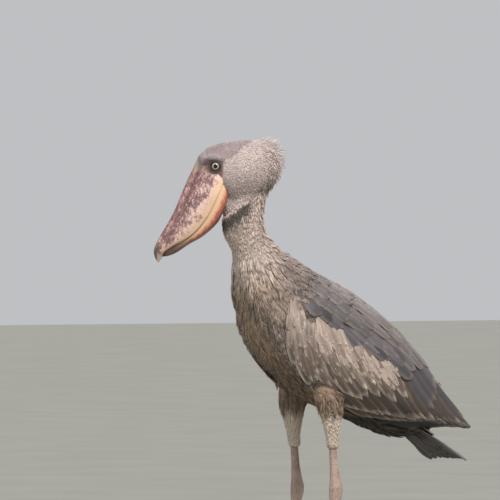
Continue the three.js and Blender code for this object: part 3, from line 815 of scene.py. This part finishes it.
def coat(name, indices, length, width, lift, templates, streak, fringe, slot, seed, spread=0.12, uneven=0.1,
         root_shade=0.28, material=HEAD_DOWN):
    """Feather pieces from the skin points given; streak darkens the shaft, fringe pales the edge, and each feather
    is darkened towards its root as painted shade under the feathers over it.
    """
    random = np.random.default_rng(seed)
    count = len(indices)
    length, width, lift, streak, fringe = (
        np.broadcast_to(value, len(skin_points))[indices] for value in (length, width, lift, streak, fringe)
    )
    roots = skin_points[indices]
    lengths = length * random.uniform(0.8, 1.2, count)
    widths = width * random.uniform(0.85, 1.15, count)
    lifts = lift * random.uniform(0.5, 1.5, count)
    turn = random.normal(0, spread, count)
    template_of = random.integers(0, len(templates), count)
    shade = random.normal(1, uneven, count)
    tones, places = coat_colour[indices], unwrap(roots)
    groups, size = [[]], 0
    for chosen, points, faces, local in sprouted(roots, lengths, widths, lifts, template_of, templates, turn):
        n, m = points.shape[:2]
        u, v = local[:, 0], local[:, 1]
        shaft = np.exp(-(u / SHAFT_WIDTH) ** 2) * rise(v, 0.1, 0.5)
        edge = np.maximum(rise(np.abs(u), 0.5, 1.0), rise(v, 0.82, 1.0))
        streaked = 1 - STREAK_DEPTH * (streak[chosen][:, None] * shaft)
        fringed = 1 + FRINGE_GAIN * (fringe[chosen][:, None] * edge)
        # Painted shade: each feather darker towards its root, where the feathers over it would shade it
        painted_root_shade = 1 - root_shade * (1 - rise(v, 0.0, 0.45))
        tone = tones[chosen][:, None] * shade[chosen][:, None, None]
        tone = np.clip(tone * streaked[..., None] * fringed[..., None] * painted_root_shade[:, None], 0, 1)
        barb, patch = feather_maps(local, 4, lengths[chosen], places[chosen], 0.35, 1.2)
        per = max(1, PIECE_LIMIT // len(faces))
        for start in range(0, n, per):
            part = slice(start, start + per)
            k = len(points[part])
            if groups[-1] and size + k * len(faces) > PIECE_LIMIT:
                groups.append([])
                size = 0
            size += k * len(faces)
            flat = [values[part].reshape(-1, values.shape[-1]) for values in (tone, patch, barb)]
            groups[-1].append((points[part].reshape(-1, 3), copies(faces, k, m), *flat))
    for number, group in enumerate(groups, 1):
        p, f = merged([part[:2] for part in group])
        tone, patch, barb = (np.vstack([part[k] for part in group]) for k in (2, 3, 4))
        make_piece(f"{name}_{number}", p, f, tone, slot, material, {"OFBake": patch, "Barb": barb})


def leaf(v):
    return np.interp(v, [0, 0.15, 0.45, 0.75, LEAF_END], [0.25, 0.6, 0.85, 0.6, 0.12])


def round_leaf(v):
    return np.interp(v, [0, 0.12, 0.5, 0.78, LEAF_END], [0.3, 0.7, 1.0, 0.85, 0.4])


PLUMES = [leaf_template(5, leaf, 0.35, 9, 10 + k) for k in range(5)]
SCALES = [leaf_template(5, round_leaf, 0.4, 8, 30 + k, 1.0) for k in range(4)]
TUFTS = [leaf_template(3, leaf, 0.25, 5, 50 + k) for k in range(5)]
WISPS = [leaf_template(0, leaf, 0, 5, 70 + k, 0.8) for k in range(5)]

skin_y, skin_z = skin_points[:, 1], skin_points[:, 2]
head_y, head_z = skin_head[:, 1], skin_head[:, 2]
is_head = head_share(skin_points) > 0.5
is_thigh = (thigh_share(skin_points) > 0.4) & ~is_head
vaned = (on_wing > 0.3) & (skin_t > np.interp(skin_phi, [20, 60, 90, 120, 150], [0.2, 0.24, 0.32, 0.3, 0.3]))
body = ~is_head & ~is_thigh & ~vaned
is_neck = body & (neck_height(skin_points) > 745)
is_torso = body & ~is_neck
on_back = (front_share(skin_points) < 0.45) & (back_height(skin_points) > 560)
is_scaled = is_torso & (on_back | (shoulder > 0.4))
coated = is_head & ~(bare > 0.35) & ~(head_y < -92)

fineness = 1 - 0.55 * fall(eye_distance(skin_head), 24, 48)
nape = rise(head_y, 12, 40) * fall(head_z, 850, 945)
crown_rise = rise(head_z, 870, 922) * rise(head_y, 10, 34)
folded = rise(skin_t, 0.0, 0.3)
ankle = rise(skin_z, 325, 400)

coat("head_coat", scatter(coated, 2.7 * fineness, 1), 9 * fineness + 3 * nape, 3.6 * fineness + 1.4,
     0.9 * fineness + 2 * nape, TUFTS, 0.05, 0.1, "pale_plumage", 2, spread=0.1, uneven=0.03, root_shade=0.1)
coat("neck_coat", scatter(is_neck, 3.6, 3), 16, 7, 1.1, TUFTS, 0.15, 0.3, "pale_plumage", 4, spread=0.2,
     uneven=0.05, root_shade=0.1)
coat("breast_coat", scatter(is_torso & ~is_scaled, 7.5, 5), 24 + 22 * fall(skin_z, 660, 760), 12, 3.2, PLUMES,
     0.75, 0.8, "plumage", 6, spread=0.2, root_shade=0.2, material=BODY_DOWN)
coat("back_coat", scatter(is_scaled, 6.8, 7), 25 + 10 * folded, 12 + 6 * folded, 2.6, SCALES, 0.7, 1.1,
     "slate_plumage", 8, spread=0.2, material=BODY_DOWN)
coat("crest", scatter(is_head & (head_y > 12) & (head_z > 838), 5.8, 11), 12 + 9 * crown_rise, 4,
     7 + 9 * crown_rise, WISPS, 0.1, 0.6, "pale_plumage", 12, spread=0.6, uneven=0.14)
coat("nape_coat", scatter(is_neck & (skin_y > -140), 9.0, 13), 20, 8, 3.6, PLUMES, 0.1, 0.4, "pale_plumage", 14,
     spread=0.4, root_shade=0.1)
coat("thigh_coat", scatter(is_thigh, 3.1, 9), 12 + 3 * ankle, 5.2, 0.5 + 0.4 * ankle, TUFTS, 0.05, 0.15,
     "pale_plumage", 10, spread=0.15, uneven=0.04, root_shade=0.06)


# Wings and tail: rows of vanes over a surface

VANE_ACROSS = np.array([-1, -0.82, -0.45, -0.05, 0.05, 0.45, 0.82, 1.0])
VANE_ALONG = np.linspace(0, 1, 16) ** 0.9
VANE_SHAPE = np.interp(VANE_ALONG, [0, 0.12, 0.4, 0.7, 0.86, 0.95, 1], [0.3, 0.6, 0.92, 1, 0.86, 0.56, 0.16])
VANE_TOP, VANE_UNDER = 0.25, -0.3
FRAY = 0.05
CAMBER = 0.09
SHAFT_HEIGHT = 0.35
NEAR = 1e-3  # the step with which a surface's slopes are found


def vanes(surface, roots, tips, widths, lows, highs, rolls, seed):
    """Closed vanes on a surface of (t, phi): points, triangles and local places."""
    u, v, rows = VANE_ACROSS, VANE_ALONG, len(VANE_ALONG)
    reach = tips - roots
    place = roots[:, None] + reach[:, None] * v[:, None]
    t, phi = place[..., 0], place[..., 1]
    lift = lows[:, None] + (highs - lows)[:, None] * rise(v, 0.08, 0.7)
    here = surface(t, phi, lift)
    ahead = surface(t + reach[:, None, 0] * NEAR, phi + reach[:, None, 1] * NEAR, lift)
    along_t = (surface(t + NEAR, phi, lift) - here) / NEAR
    along_phi = (surface(t, phi + NEAR, lift) - here) / NEAR
    across = np.cross(unit(ahead - here), unit(np.cross(along_phi, along_t)))
    t_step = (across * along_t).sum(-1) / (along_t ** 2).sum(-1)
    phi_step = (across * along_phi).sum(-1) / (along_phi ** 2).sum(-1)
    frayed = FRAY * np.random.default_rng(seed).normal(0, 1, (len(roots), rows, 2))
    edge = 1 + frayed * rise(v, 0.2, 0.6)[:, None]
    half = (widths / 2)[:, None] * VANE_SHAPE
    offset = half[..., None] * u * np.where(u < 0, edge[..., :1], edge[..., 1:])
    camber = -CAMBER * widths[:, None, None] * u ** 2
    height = lift[..., None] + offset * np.tan(rolls)[:, None, None] + camber + SHAFT_HEIGHT * (np.abs(u) < 0.1)
    wide_t = t[..., None] + t_step[..., None] * offset
    wide_phi = phi[..., None] + phi_step[..., None] * offset
    top, bottom = (surface(wide_t, wide_phi, height + side) for side in (VANE_TOP, VANE_UNDER))
    ring = np.concatenate([top, bottom[:, :, ::-1]], 2)
    sides = ring.shape[2]
    _, faces = skin_rings(np.zeros((rows, sides, 3)), False)
    cap = np.array([[0, s + 1, s] for s in range(1, sides - 1)])
    faces = np.concatenate([faces, cap, cap[:, ::-1] + (rows - 1) * sides])
    local_u = np.concatenate([u, u[::-1]])
    local = np.stack(np.broadcast_arrays(local_u, v[:, None]), -1).reshape(-1, 2)
    return ring.reshape(len(roots), rows * sides, 3), faces, local


# The first feather's root and tip as (t, degrees), then the last one's; count, width, lift at the root and
# at the tip, roll in degrees, colour, fringe and looseness
WING_TIERS = [
    # primaries, and the inner ones over the back
    ([[0.42, 120], [0.84, 137]], [[0.5, 42], [0.985, 78]], 11, 38, -14, -6.5, 4, DARK, 0.25, 0.5),
    ([[0.5, 44], [0.94, 66]], [[0.58, 3], [0.86, 5]], 8, 42, -14, -5.5, 4, DARK * 1.1, 0.2, 0.6),
    # secondaries in two layers, and tertials
    # the lower layer of secondaries is darkened: painted shade under the wing
    ([[0.3, 128], [0.56, 150]], [[0.5, 46], [0.9, 92]], 13, 40, -13, -5.5, 6, SECONDARY * 0.75, 0.35, 0.8),
    ([[0.2, 120], [0.44, 151]], [[0.34, 56], [0.77, 112]], 13, 34, -12, -4.2, 7, SECONDARY, 0.75, 1.0),
    ([[0.4, 56], [0.74, 92]], [[0.46, 4], [0.72, 4]], 9, 44, -11, -2.5, 5, SLATE * 0.85, 0.2, 0.6),
    # greater, median and lesser coverts, two layers of each
    ([[0.12, 112], [0.33, 150]], [[0.32, 66], [0.59, 102]], 11, 28, -11, -3.2, 7, COVERT * 0.8, 1.0, 1.5),
    ([[0.1, 106], [0.285, 145]], [[0.3, 66], [0.53, 99]], 11, 27, -11, -2.8, 7, COVERT * 0.9, 1.0, 1.8),
    ([[0.1, 104], [0.245, 140]], [[0.27, 68], [0.47, 95]], 12, 25, -10.5, -2.4, 6, COVERT, 0.95, 2.0),
    ([[0.1, 102], [0.215, 134]], [[0.25, 70], [0.42, 92]], 11, 23, -10.5, -2.0, 6, COVERT * 1.08, 0.85, 2.2),
    ([[0.1, 98], [0.19, 126]], [[0.24, 72], [0.375, 90]], 10, 21, -10, -1.8, 6, WING_SOFT * 0.95, 0.65, 2.2),
    ([[0.1, 92], [0.17, 116]], [[0.22, 74], [0.33, 88]], 13, 17, -10, -1.5, 6, WING_SOFT, 0.6, 2.6),
    # narrow downy feathers of the pale band
    ([[0.12, 96], [0.185, 113]], [[0.43, 83], [0.55, 93]], 40, 9, -9, -2.0, 4, DOWNY, 0.5, 3.0),
    ([[0.11, 93], [0.165, 108]], [[0.42, 80], [0.53, 90]], 42, 9, -9, -1.8, 4, DOWNY * 1.05, 0.6, 3.0),
    ([[0.11, 92], [0.15, 106]], [[0.4, 76], [0.53, 88]], 42, 8, -9, -1.6, 4, DOWNY * 1.1, 0.7, 3.0),
]
for row in range(8):  # scapulars, from the shoulder's edge up to the back's middle
    phi = 80 - 11.2 * row
    WING_TIERS.append((
        [[0.09 - 0.006 * row, phi - 4], [0.2 - 0.004 * row, phi + 3]],
        [[0.39 + 0.02 * row, phi - 5], [0.58 + 0.022 * row, phi + 1]],
        9, 33, -10, -0.6 + 0.25 * row, 5, mix(SLATE, MANTLE, 0.12 * row) * 0.98, 0.2, 1.3,
    ))
TAIL_TIERS = [
    ([[-0.02, 11.5], [0.93, 14.5]], [[-0.02, 1.2], [1.0, 1.5]], 6, 32, -7, -2, 0, DARK, 0.2, 0.3),
    ([[-0.1, 9], [0.45, 13]], [[-0.1, 1], [0.5, 2]], 4, 30, -3, 2, 0, DARK * 1.2, 0.2, 0.5),
]
TAIL_LENGTH, TAIL_PIVOT, TAIL_SLOPE = 160, 90, math.radians(32.5)
TAIL_Y, TAIL_Z = 200, 396
PLACE_UNITS = np.array([1, math.pi / 180])


def vane_colour(base, fringe, local, shade, random):
    """Vane colours: a brown or slate middle, a paler edge, a dark shaft and soft marks, with painted shade towards
    each vane's root.
    """
    u, v = np.abs(local[:, 0]), local[:, 1]
    sides = rise(u, 0.62, 0.96) * (0.3 + 0.7 * rise(v, 0.4, 0.8))
    edge = np.maximum(sides, rise(v, 0.9, 0.98))
    # Each vane darker towards its root: painted shade under the vanes over it
    colour = base * shade[:, None, None] * (0.78 + 0.22 * rise(v, 0.1, 0.8))[:, None]
    share = np.clip(edge * fringe * random.uniform(0.5, 1.1, (len(shade), 1)), 0, 1)
    colour = mix(colour, COVERT_FRINGE, share)
    shaft = ((u < 0.1) * rise(v, 0.2, 0.7))[:, None] * random.uniform(-0.5, 0.9, (len(shade), 1, 1))
    return np.clip(colour * (1 + shaft * 0.6), 0, 1)


def feathered(name, side, tiers, surface, places, slot, seed):
    """One piece with all the tiers' vanes on one side; places gives the roots' places on its map."""
    random = np.random.default_rng(seed)
    parts, colours, barbs, patches = [], [], [], []
    for order, (first, last, count, width, low_at, high_at, roll, base, fringe, loose) in enumerate(tiers):
        share = np.linspace(0, 1, count)[:, None]
        first, last = np.array(first, float), np.array(last, float)
        jitter = random.normal(0, 1, (count, 2)) * [0.005, 0.9] * loose
        roots = first[0] + (last[0] - first[0]) * share + jitter
        tips = first[1] + (last[1] - first[1]) * share + jitter
        tips = tips + random.normal(0, 1, (count, 2)) * [0.005, 0.8] * loose
        layer = share[:, 0] * 1.2
        points, faces, local = vanes(
            surface, roots * PLACE_UNITS, tips * PLACE_UNITS, width * random.uniform(0.93, 1.07, count),
            low_at + layer, high_at + layer, np.full(count, math.radians(roll)), seed * 50 + order,
        )
        points = points * np.array([side, 1, 1])
        shade = random.normal(1, 0.1, count)
        lengths = np.linalg.norm(points[:, -1] - points[:, 0], axis=-1)
        faces = copies(faces[:, ::-1] if side > 0 else faces, *points.shape[:2])
        parts.append((points.reshape(-1, 3), faces))
        colours.append(vane_colour(base, fringe, local, shade, random).reshape(-1, 3))
        barb, patch = feather_maps(local, width / 4, lengths, places(roots), 0.5, 1)
        barbs.append(barb.reshape(-1, 2))
        patches.append(patch.reshape(-1, 2))
    p, f = merged(parts)
    maps = {"OFBake": np.vstack(patches), "Barb": np.vstack(barbs)}
    return make_piece(name, p, f, np.vstack(colours), slot, VANES, maps)


def wing_places(side):
    return lambda roots: np.stack([0.5 + side * (0.02 + roots[:, 1] / 400), 0.1 + roots[:, 0] * 0.7], -1)


def tail_places(roots):
    return np.stack([0.5 + roots[:, 1] / 300, 0.9 + roots[:, 0] * 0.05], -1)


def tail_surface(t, phi, proud=0.0):
    t, phi, proud = np.broadcast_arrays(np.asarray(t, float), phi, proud)
    across = np.sin(phi) * (TAIL_PIVOT + TAIL_LENGTH * t)
    over = proud - 9 * (across / 60) ** 2
    length = TAIL_LENGTH * t
    return np.stack([
        across,
        TAIL_Y + length * math.cos(TAIL_SLOPE) + over * math.sin(TAIL_SLOPE),
        TAIL_Z - length * math.sin(TAIL_SLOPE) + over * math.cos(TAIL_SLOPE),
    ], -1)


for side, name in SIDES:
    wing = feathered(f"wing_plumage_{name}", side, WING_TIERS, wing_surface, wing_places(side), "plumage", 40 + side)
    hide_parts(f"wing_{name}")
tail_left, _ = [
    feathered(f"tail_plumage_{name}", side, TAIL_TIERS, tail_surface, tail_places, "slate_plumage", 60 + side)
    for side, name in SIDES
]
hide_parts("tail")


# Bill

def bill_half(stations, section, upper, rows=110):
    """Half of the bill, with each point's height in the section and its place along the bill."""
    tight = spline(np.array(section, float))(np.linspace(0, 1, 56))
    t = np.linspace(0, 1, rows)
    s = spline(stations)(t)
    near, far, half = s[:, 0:2], s[:, 2:4], s[:, 4]
    start, end = (far, near) if upper else (near, far)
    share = tight[:, 1] if upper else -tight[:, 1]
    yz = start[:, None] + (end - start)[:, None] * share[:, None]
    right = np.stack([half[:, None] * tight[:, 0], yz[..., 0], yz[..., 1]], -1)
    left = right[:, ::-1] * np.array([-1, 1, 1])
    shared = slice(0 if upper else 1, -1)
    ring = np.concatenate([right, left[:, shared]], 1)
    down = np.concatenate([tight[:, 1], tight[::-1, 1][shared]])
    p, f = skin_rings(ring)
    down = np.concatenate([np.broadcast_to(down, (rows, len(down))).ravel(), [0, 0]])
    return p, outwards(p, f), {"down": down, "along": np.concatenate([np.repeat(t, ring.shape[1]), [0, 1]])}


def upper_colour(g, down, along, big, fine, spots):
    side = g.ramp(down, (0.06, 0.8), (0.25, 0.9), (0.45, 0.97), (0.7, 1.02), (0.9, 0.98))
    mottle = g.maths("ADD", g.maths("MULTIPLY", big, 0.5), g.maths("MULTIPLY", fine, 0.6))
    from_face = g.maths("SUBTRACT", along, g.maths("MULTIPLY", down, 0.14))
    base = g.ramp(
        down, (0.0, srgb(192, 152, 122)), (0.16, srgb(196, 160, 140)), (0.34, srgb(202, 172, 156)),
        (0.62, srgb(194, 156, 144)), (0.85, srgb(164, 122, 114)), (1.0, srgb(156, 116, 100)),
    )
    nail = g.ramp(
        along, (0.78, srgb(140, 108, 102)), (0.83, srgb(104, 88, 84)), (0.87, srgb(160, 140, 122)),
        (1.0, srgb(206, 192, 168)),
    )
    ridge_end = g.maths(
        "MULTIPLY", g.ramp(down, (0.62, 0.0), (0.82, 0.9)),
        g.ramp(along, (0.74, 0.0), (0.82, 1.0), (0.92, 1.0), (0.97, 0.2)),
    )
    low_end = g.maths(
        "MULTIPLY", g.ramp(down, (0.05, 0.7), (0.16, 0.0)),
        g.ramp(along, (0.6, 0.0), (0.7, 1.0), (0.88, 1.0), (0.93, 0.0)),
    )
    return g.layered(base, (
        # blotches, dots, pale flecks, the cutting edge and the skin where the bill begins
        (g.ramp(g.maths("MULTIPLY", mottle, side), (0.5, 0.0), (0.54, 0.6), (0.61, 0.95)), srgb(104, 70, 76)),
        (g.ramp(g.maths("MULTIPLY", spots, side), (0.53, 0.0), (0.59, 0.75)), srgb(88, 50, 56)),
        (g.ramp(fine, (0.36, 0.6), (0.46, 0.0)), srgb(204, 184, 174)),
        (g.ramp(down, (0.02, 0.5), (0.1, 0.35), (0.16, 0.0)), srgb(206, 180, 150)),
        (g.ramp(g.maths("ADD", from_face, 0.1), (0.135, 0.95), (0.165, 0.0)), srgb(156, 132, 120)),
        # the hooked nail, and the darker ridge and edge before it
        (g.ramp(along, (0.8, 0.0), (0.86, 1.0)), nail),
        (ridge_end, srgb(84, 70, 68)),
        (low_end, srgb(98, 84, 78)),
    ))


def lower_colour(g, down, along, fine):
    depth_at = g.maths("MULTIPLY", down, -1.0)
    base = g.ramp(
        depth_at, (0.0, srgb(204, 172, 140)), (0.3, srgb(208, 166, 134)), (0.55, srgb(204, 140, 114)),
        (0.75, srgb(196, 132, 112)), (1.0, srgb(150, 98, 88)),
    )
    streaks = g.maths("MULTIPLY", fine, g.ramp(depth_at, (0.2, 0.6), (0.8, 1.15)))
    return g.layered(base, (
        (g.ramp(streaks, (0.38, 0.0), (0.5, 0.85)), srgb(152, 80, 68)),
        (g.ramp(along, (0.6, 0.0), (0.8, 0.85)), srgb(84, 72, 68)),
    ))


def bill_material(name, upper):
    g = Shading(name)
    down, along = g.attribute("down", "Fac"), g.attribute("along", "Fac")
    where = g.node("Mapping", "Vector", {
        "Vector": g.where(), "Rotation": (math.radians(-32), 0, HEAD_TURN), "Scale": (1.0, 1.0, 0.6),
    })
    big, fine, spots = g.noise(60, 5, where, 0.62), g.noise(190, 6, where, 0.75), g.noise(330, 3, where, 0.6)
    colour = upper_colour(g, down, along, big, fine, spots) if upper else lower_colour(g, down, along, fine)
    return g.finished({
        "Base Color": colour, "Roughness": g.ramp(fine, (0.3, 0.34), (0.7, 0.52)), "Coat Weight": 0.12,
    }, g.maths("ADD", fine, big), 0.35, 0.0012)


for name, stations, section in (
    ("upper", UPPER_STATIONS, UPPER_SECTION),
    ("lower", LOWER_STATIONS, LOWER_SECTION),
):
    p, f, values = bill_half(stations, section, name == "upper")
    horn = make_piece(f"bill_{name}_horn", from_head(p), f, None, "bill",
                      bill_material(f"bill_{name}", name == "upper"), values=values)
    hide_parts(f"bill_{name}")


# Eyes and lids

# Each ring of a lid: its place out along the eye's axis, radius, thickness, squash and colour
LIDS = (
    (6.6, 9.0, 1.7, 0.88, srgb(38, 28, 28)),
    (4.6, 12.0, 2.2, 0.82, srgb(92, 68, 66)),
    (2.2, 15.5, 2.6, 0.8, srgb(120, 92, 88)),
)
LID_SIDES, LID_AROUND = 48, 16
LID_TILT = -0.35
CORNEA = 0.05  # how far the eye's front bulges, as a share of its radius


def square_to(axis):
    """The axis made one long, with up and across directions square to it."""
    axis = unit(np.array(axis, float))
    up = unit(np.array([0, 0, 1.0]) - axis * axis[2])
    return axis, up, np.cross(up, axis)


def lid_ring(centre, axis, radius, thick, squash, tilt):
    axis, up, across = square_to(axis)
    a, b = grid_of(circle(LID_SIDES), circle(LID_AROUND))
    level = across * math.cos(tilt) + up * math.sin(tilt)
    rising = up * math.cos(tilt) - across * math.sin(tilt)
    out = np.cos(a)[..., None] * level + np.sin(a)[..., None] * rising * squash
    ring = centre + out * (radius + thick * np.cos(b))[..., None] + axis * (thick * np.sin(b))[..., None]
    n = np.arange(LID_SIDES * LID_AROUND).reshape(LID_SIDES, LID_AROUND)
    faces = two_faces(n, np.roll(n, -1, 0), np.roll(np.roll(n, -1, 0), -1, 1), np.roll(n, -1, 1))
    p = ring.reshape(-1, 3)
    return p, outwards(p, faces)


def ball(centre, axis, radius, rows=40, sides=64):
    """The eyeball, with each point's angle from its axis."""
    axis, up, across = square_to(axis)
    angle = np.linspace(0.001, math.pi - 0.001, rows)
    turn = circle(sides)[:, None]
    bulge = 1 + CORNEA * np.exp(-(angle / 0.45) ** 2)
    out = np.cos(turn) * across + np.sin(turn) * up
    ring = np.cos(angle)[:, None, None] * axis + np.sin(angle)[:, None, None] * out
    p, f = skin_rings(ring * (radius * bulge)[:, None, None] + centre)
    return p, outwards(p, f), np.concatenate([np.repeat(angle, sides), [0, math.pi]])


g = Shading("eye")
iris = g.ramp(
    g.attribute("angle", "Fac"),
    (0.0, srgb(12, 10, 10)), (0.38, srgb(12, 10, 10)), (0.41, srgb(142, 133, 120)), (0.55, srgb(190, 179, 164)),
    (0.63, srgb(156, 146, 132)), (0.67, srgb(40, 30, 28)), (1.0, srgb(30, 24, 24)),
)
EYE = g.finished({
    "Base Color": g.blend("MULTIPLY", 1.0, iris, g.ramp(g.noise(900, 3), (0.35, 0.82), (0.65, 1.05))),
    "Roughness": 0.08, "Specular IOR Level": 0.25, "Coat Weight": 0.25, "Coat Roughness": 0.03,
})

for side, name in SIDES:
    axis = np.array([0.99 * side, -0.12, 0.02])
    centre = EYE_PLACE * np.array([side, 1, 1])
    p, f, angle = ball(centre, axis, EYE_RADIUS - 0.4)
    eyeball = make_piece(f"eyeball_{name}", from_head(p), f, None, "eye", EYE, values={"angle": angle})
    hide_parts(f"eye_{name}")
    p, f = merged([
        headed(lid_ring(centre + axis * out, axis, radius, thick, squash, LID_TILT * side))
        for out, radius, thick, squash, _ in LIDS
    ])
    tone = np.repeat([lid[-1] for lid in LIDS], LID_SIDES * LID_AROUND, axis=0)
    h = to_head(p)
    # The lids are darkened towards their top: painted shade under the brow
    over = rise(h[:, 2] - EYE_PLACE[2] - 0.25 * h[:, 1] + 0.25 * EYE_PLACE[1], 2, 10)
    make_piece(f"lids_{name}", p, f, tone * (1 - 0.6 * over)[:, None], "pale_plumage", SKIN)


# Legs and feet: the solids' shapes, finer and rounder, with scales

g = Shading("leg_scales")
gaps = g.ramp(g.cell_edges(260), (0.0, 0.0), (0.09, 1.0))
tone = g.ramp(g.noise(45, 4), (0.3, srgb(142, 120, 108)), (0.7, srgb(176, 154, 141)))
LEG = g.finished({"Base Color": g.blend("MULTIPLY", 0.55, tone, gaps), "Roughness": 0.62}, gaps, 0.6, 0.0007)
g = Shading("claw")
tone = g.ramp(g.noise(120, 3), (0.3, srgb(38, 33, 32)), (0.7, srgb(66, 58, 54)))
CLAW = g.finished({"Base Color": tone, "Roughness": 0.4})


def node_mesh(name):
    """The points and triangles of one of the solids, in the bird's frame."""
    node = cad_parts[name]
    mesh = node.data
    points = np.array([tuple(node.matrix_world @ v.co) for v in mesh.vertices]) / MM - SHIFT
    mesh.calc_loop_triangles()
    return points, np.array([tuple(t.vertices) for t in mesh.loop_triangles])


for _, side in SIDES:
    toes, claws = (
        [f"{part}_{side}_{toe}" for toe in ("middle", "inner", "outer", "hallux")] for part in ("toe", "claw")
    )
    shank = f"shank_{side}"
    for name, nodes, voxel, smooth, slot, material in (
        (f"leg_{side}", [*toes, shank], 1.5, 5, "leg_skin", LEG),
        (f"claws_{side}", claws, 0.8, 3, "claw", CLAW),
    ):
        p, quads, _ = remeshed(*merged([node_mesh(node) for node in nodes]), voxel, smooth)
        piece = make_piece(name, p, quads, None, slot, material)
        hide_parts(*nodes)


# Floor, light and camera

g = Shading("floor")
tone = g.ramp(g.noise(3, 2), (0.3, srgb(136, 137, 130)), (0.7, srgb(142, 143, 136)))
bpy.ops.mesh.primitive_plane_add(size=60, location=(0, 0, 0))
floor = bpy.context.object
floor.name = "floor"
floor.data.materials.append(g.finished({"Base Color": tone, "Roughness": 0.8}))

world = bpy.data.worlds.new("studio")
bpy.context.scene.world = world
world.use_nodes = True
background = world.node_tree.nodes["Background"]
background.inputs["Color"].default_value = (0.9, 0.91, 0.94, 1)
background.inputs["Strength"].default_value = 0.58
bpy.context.scene.view_settings.view_transform = "Standard"

# The camera looks from the bird's left and front, from TOWARD; RIGHT is the picture's right
VIEW_ANGLE = math.radians(58)
RIGHT = np.array([math.cos(VIEW_ANGLE), math.sin(VIEW_ANGLE), 0])
TOWARD = np.array([math.sin(VIEW_ANGLE), -math.cos(VIEW_ANGLE), 0])


def aimed(thing, place, target):
    thing.location = Vector(place)
    thing.rotation_euler = (Vector(target) - Vector(place)).to_track_quat("-Z", "Y").to_euler()


def lamp(name, kind, toward, right, height, target, power, colour, **settings):
    light = bpy.data.lights.new(name, kind)
    light.energy = power
    light.color = colour
    for key, value in settings.items():
        setattr(light, key, value)
    aimed(placed(name, light), TOWARD * toward + RIGHT * right + np.array([0, 0, height]), target)


BODY = (0, 0, 0.6)
lamp("key", "SUN", 2.1, 1.2, 2.4, (0, 0, 0), 3.9, (1, 0.955, 0.9), angle=math.radians(14))
lamp("fill", "AREA", 2.4, -2.2, 1.6, BODY, 30, (0.92, 0.96, 1), size=2.4)
lamp("rim", "AREA", -2.2, 0.6, 2.4, BODY, 30, (1, 0.98, 0.95), size=1.6)

CAMERA_DISTANCE, CAMERA_HEIGHT, AIM_HEIGHT, AIM_RIGHT = 14, 0.807, 0.71955, -0.12285
camera = bpy.data.cameras.new("camera")
camera.sensor_width = 36
camera.lens = 517
camera.clip_end = 100
view = placed("camera", camera)
aim = RIGHT * AIM_RIGHT + SHIFT * MM
place = aim + TOWARD * CAMERA_DISTANCE + np.array([0, 0, CAMERA_HEIGHT])
aimed(view, place, aim + np.array([0, 0, AIM_HEIGHT]))
bpy.context.scene.camera = view
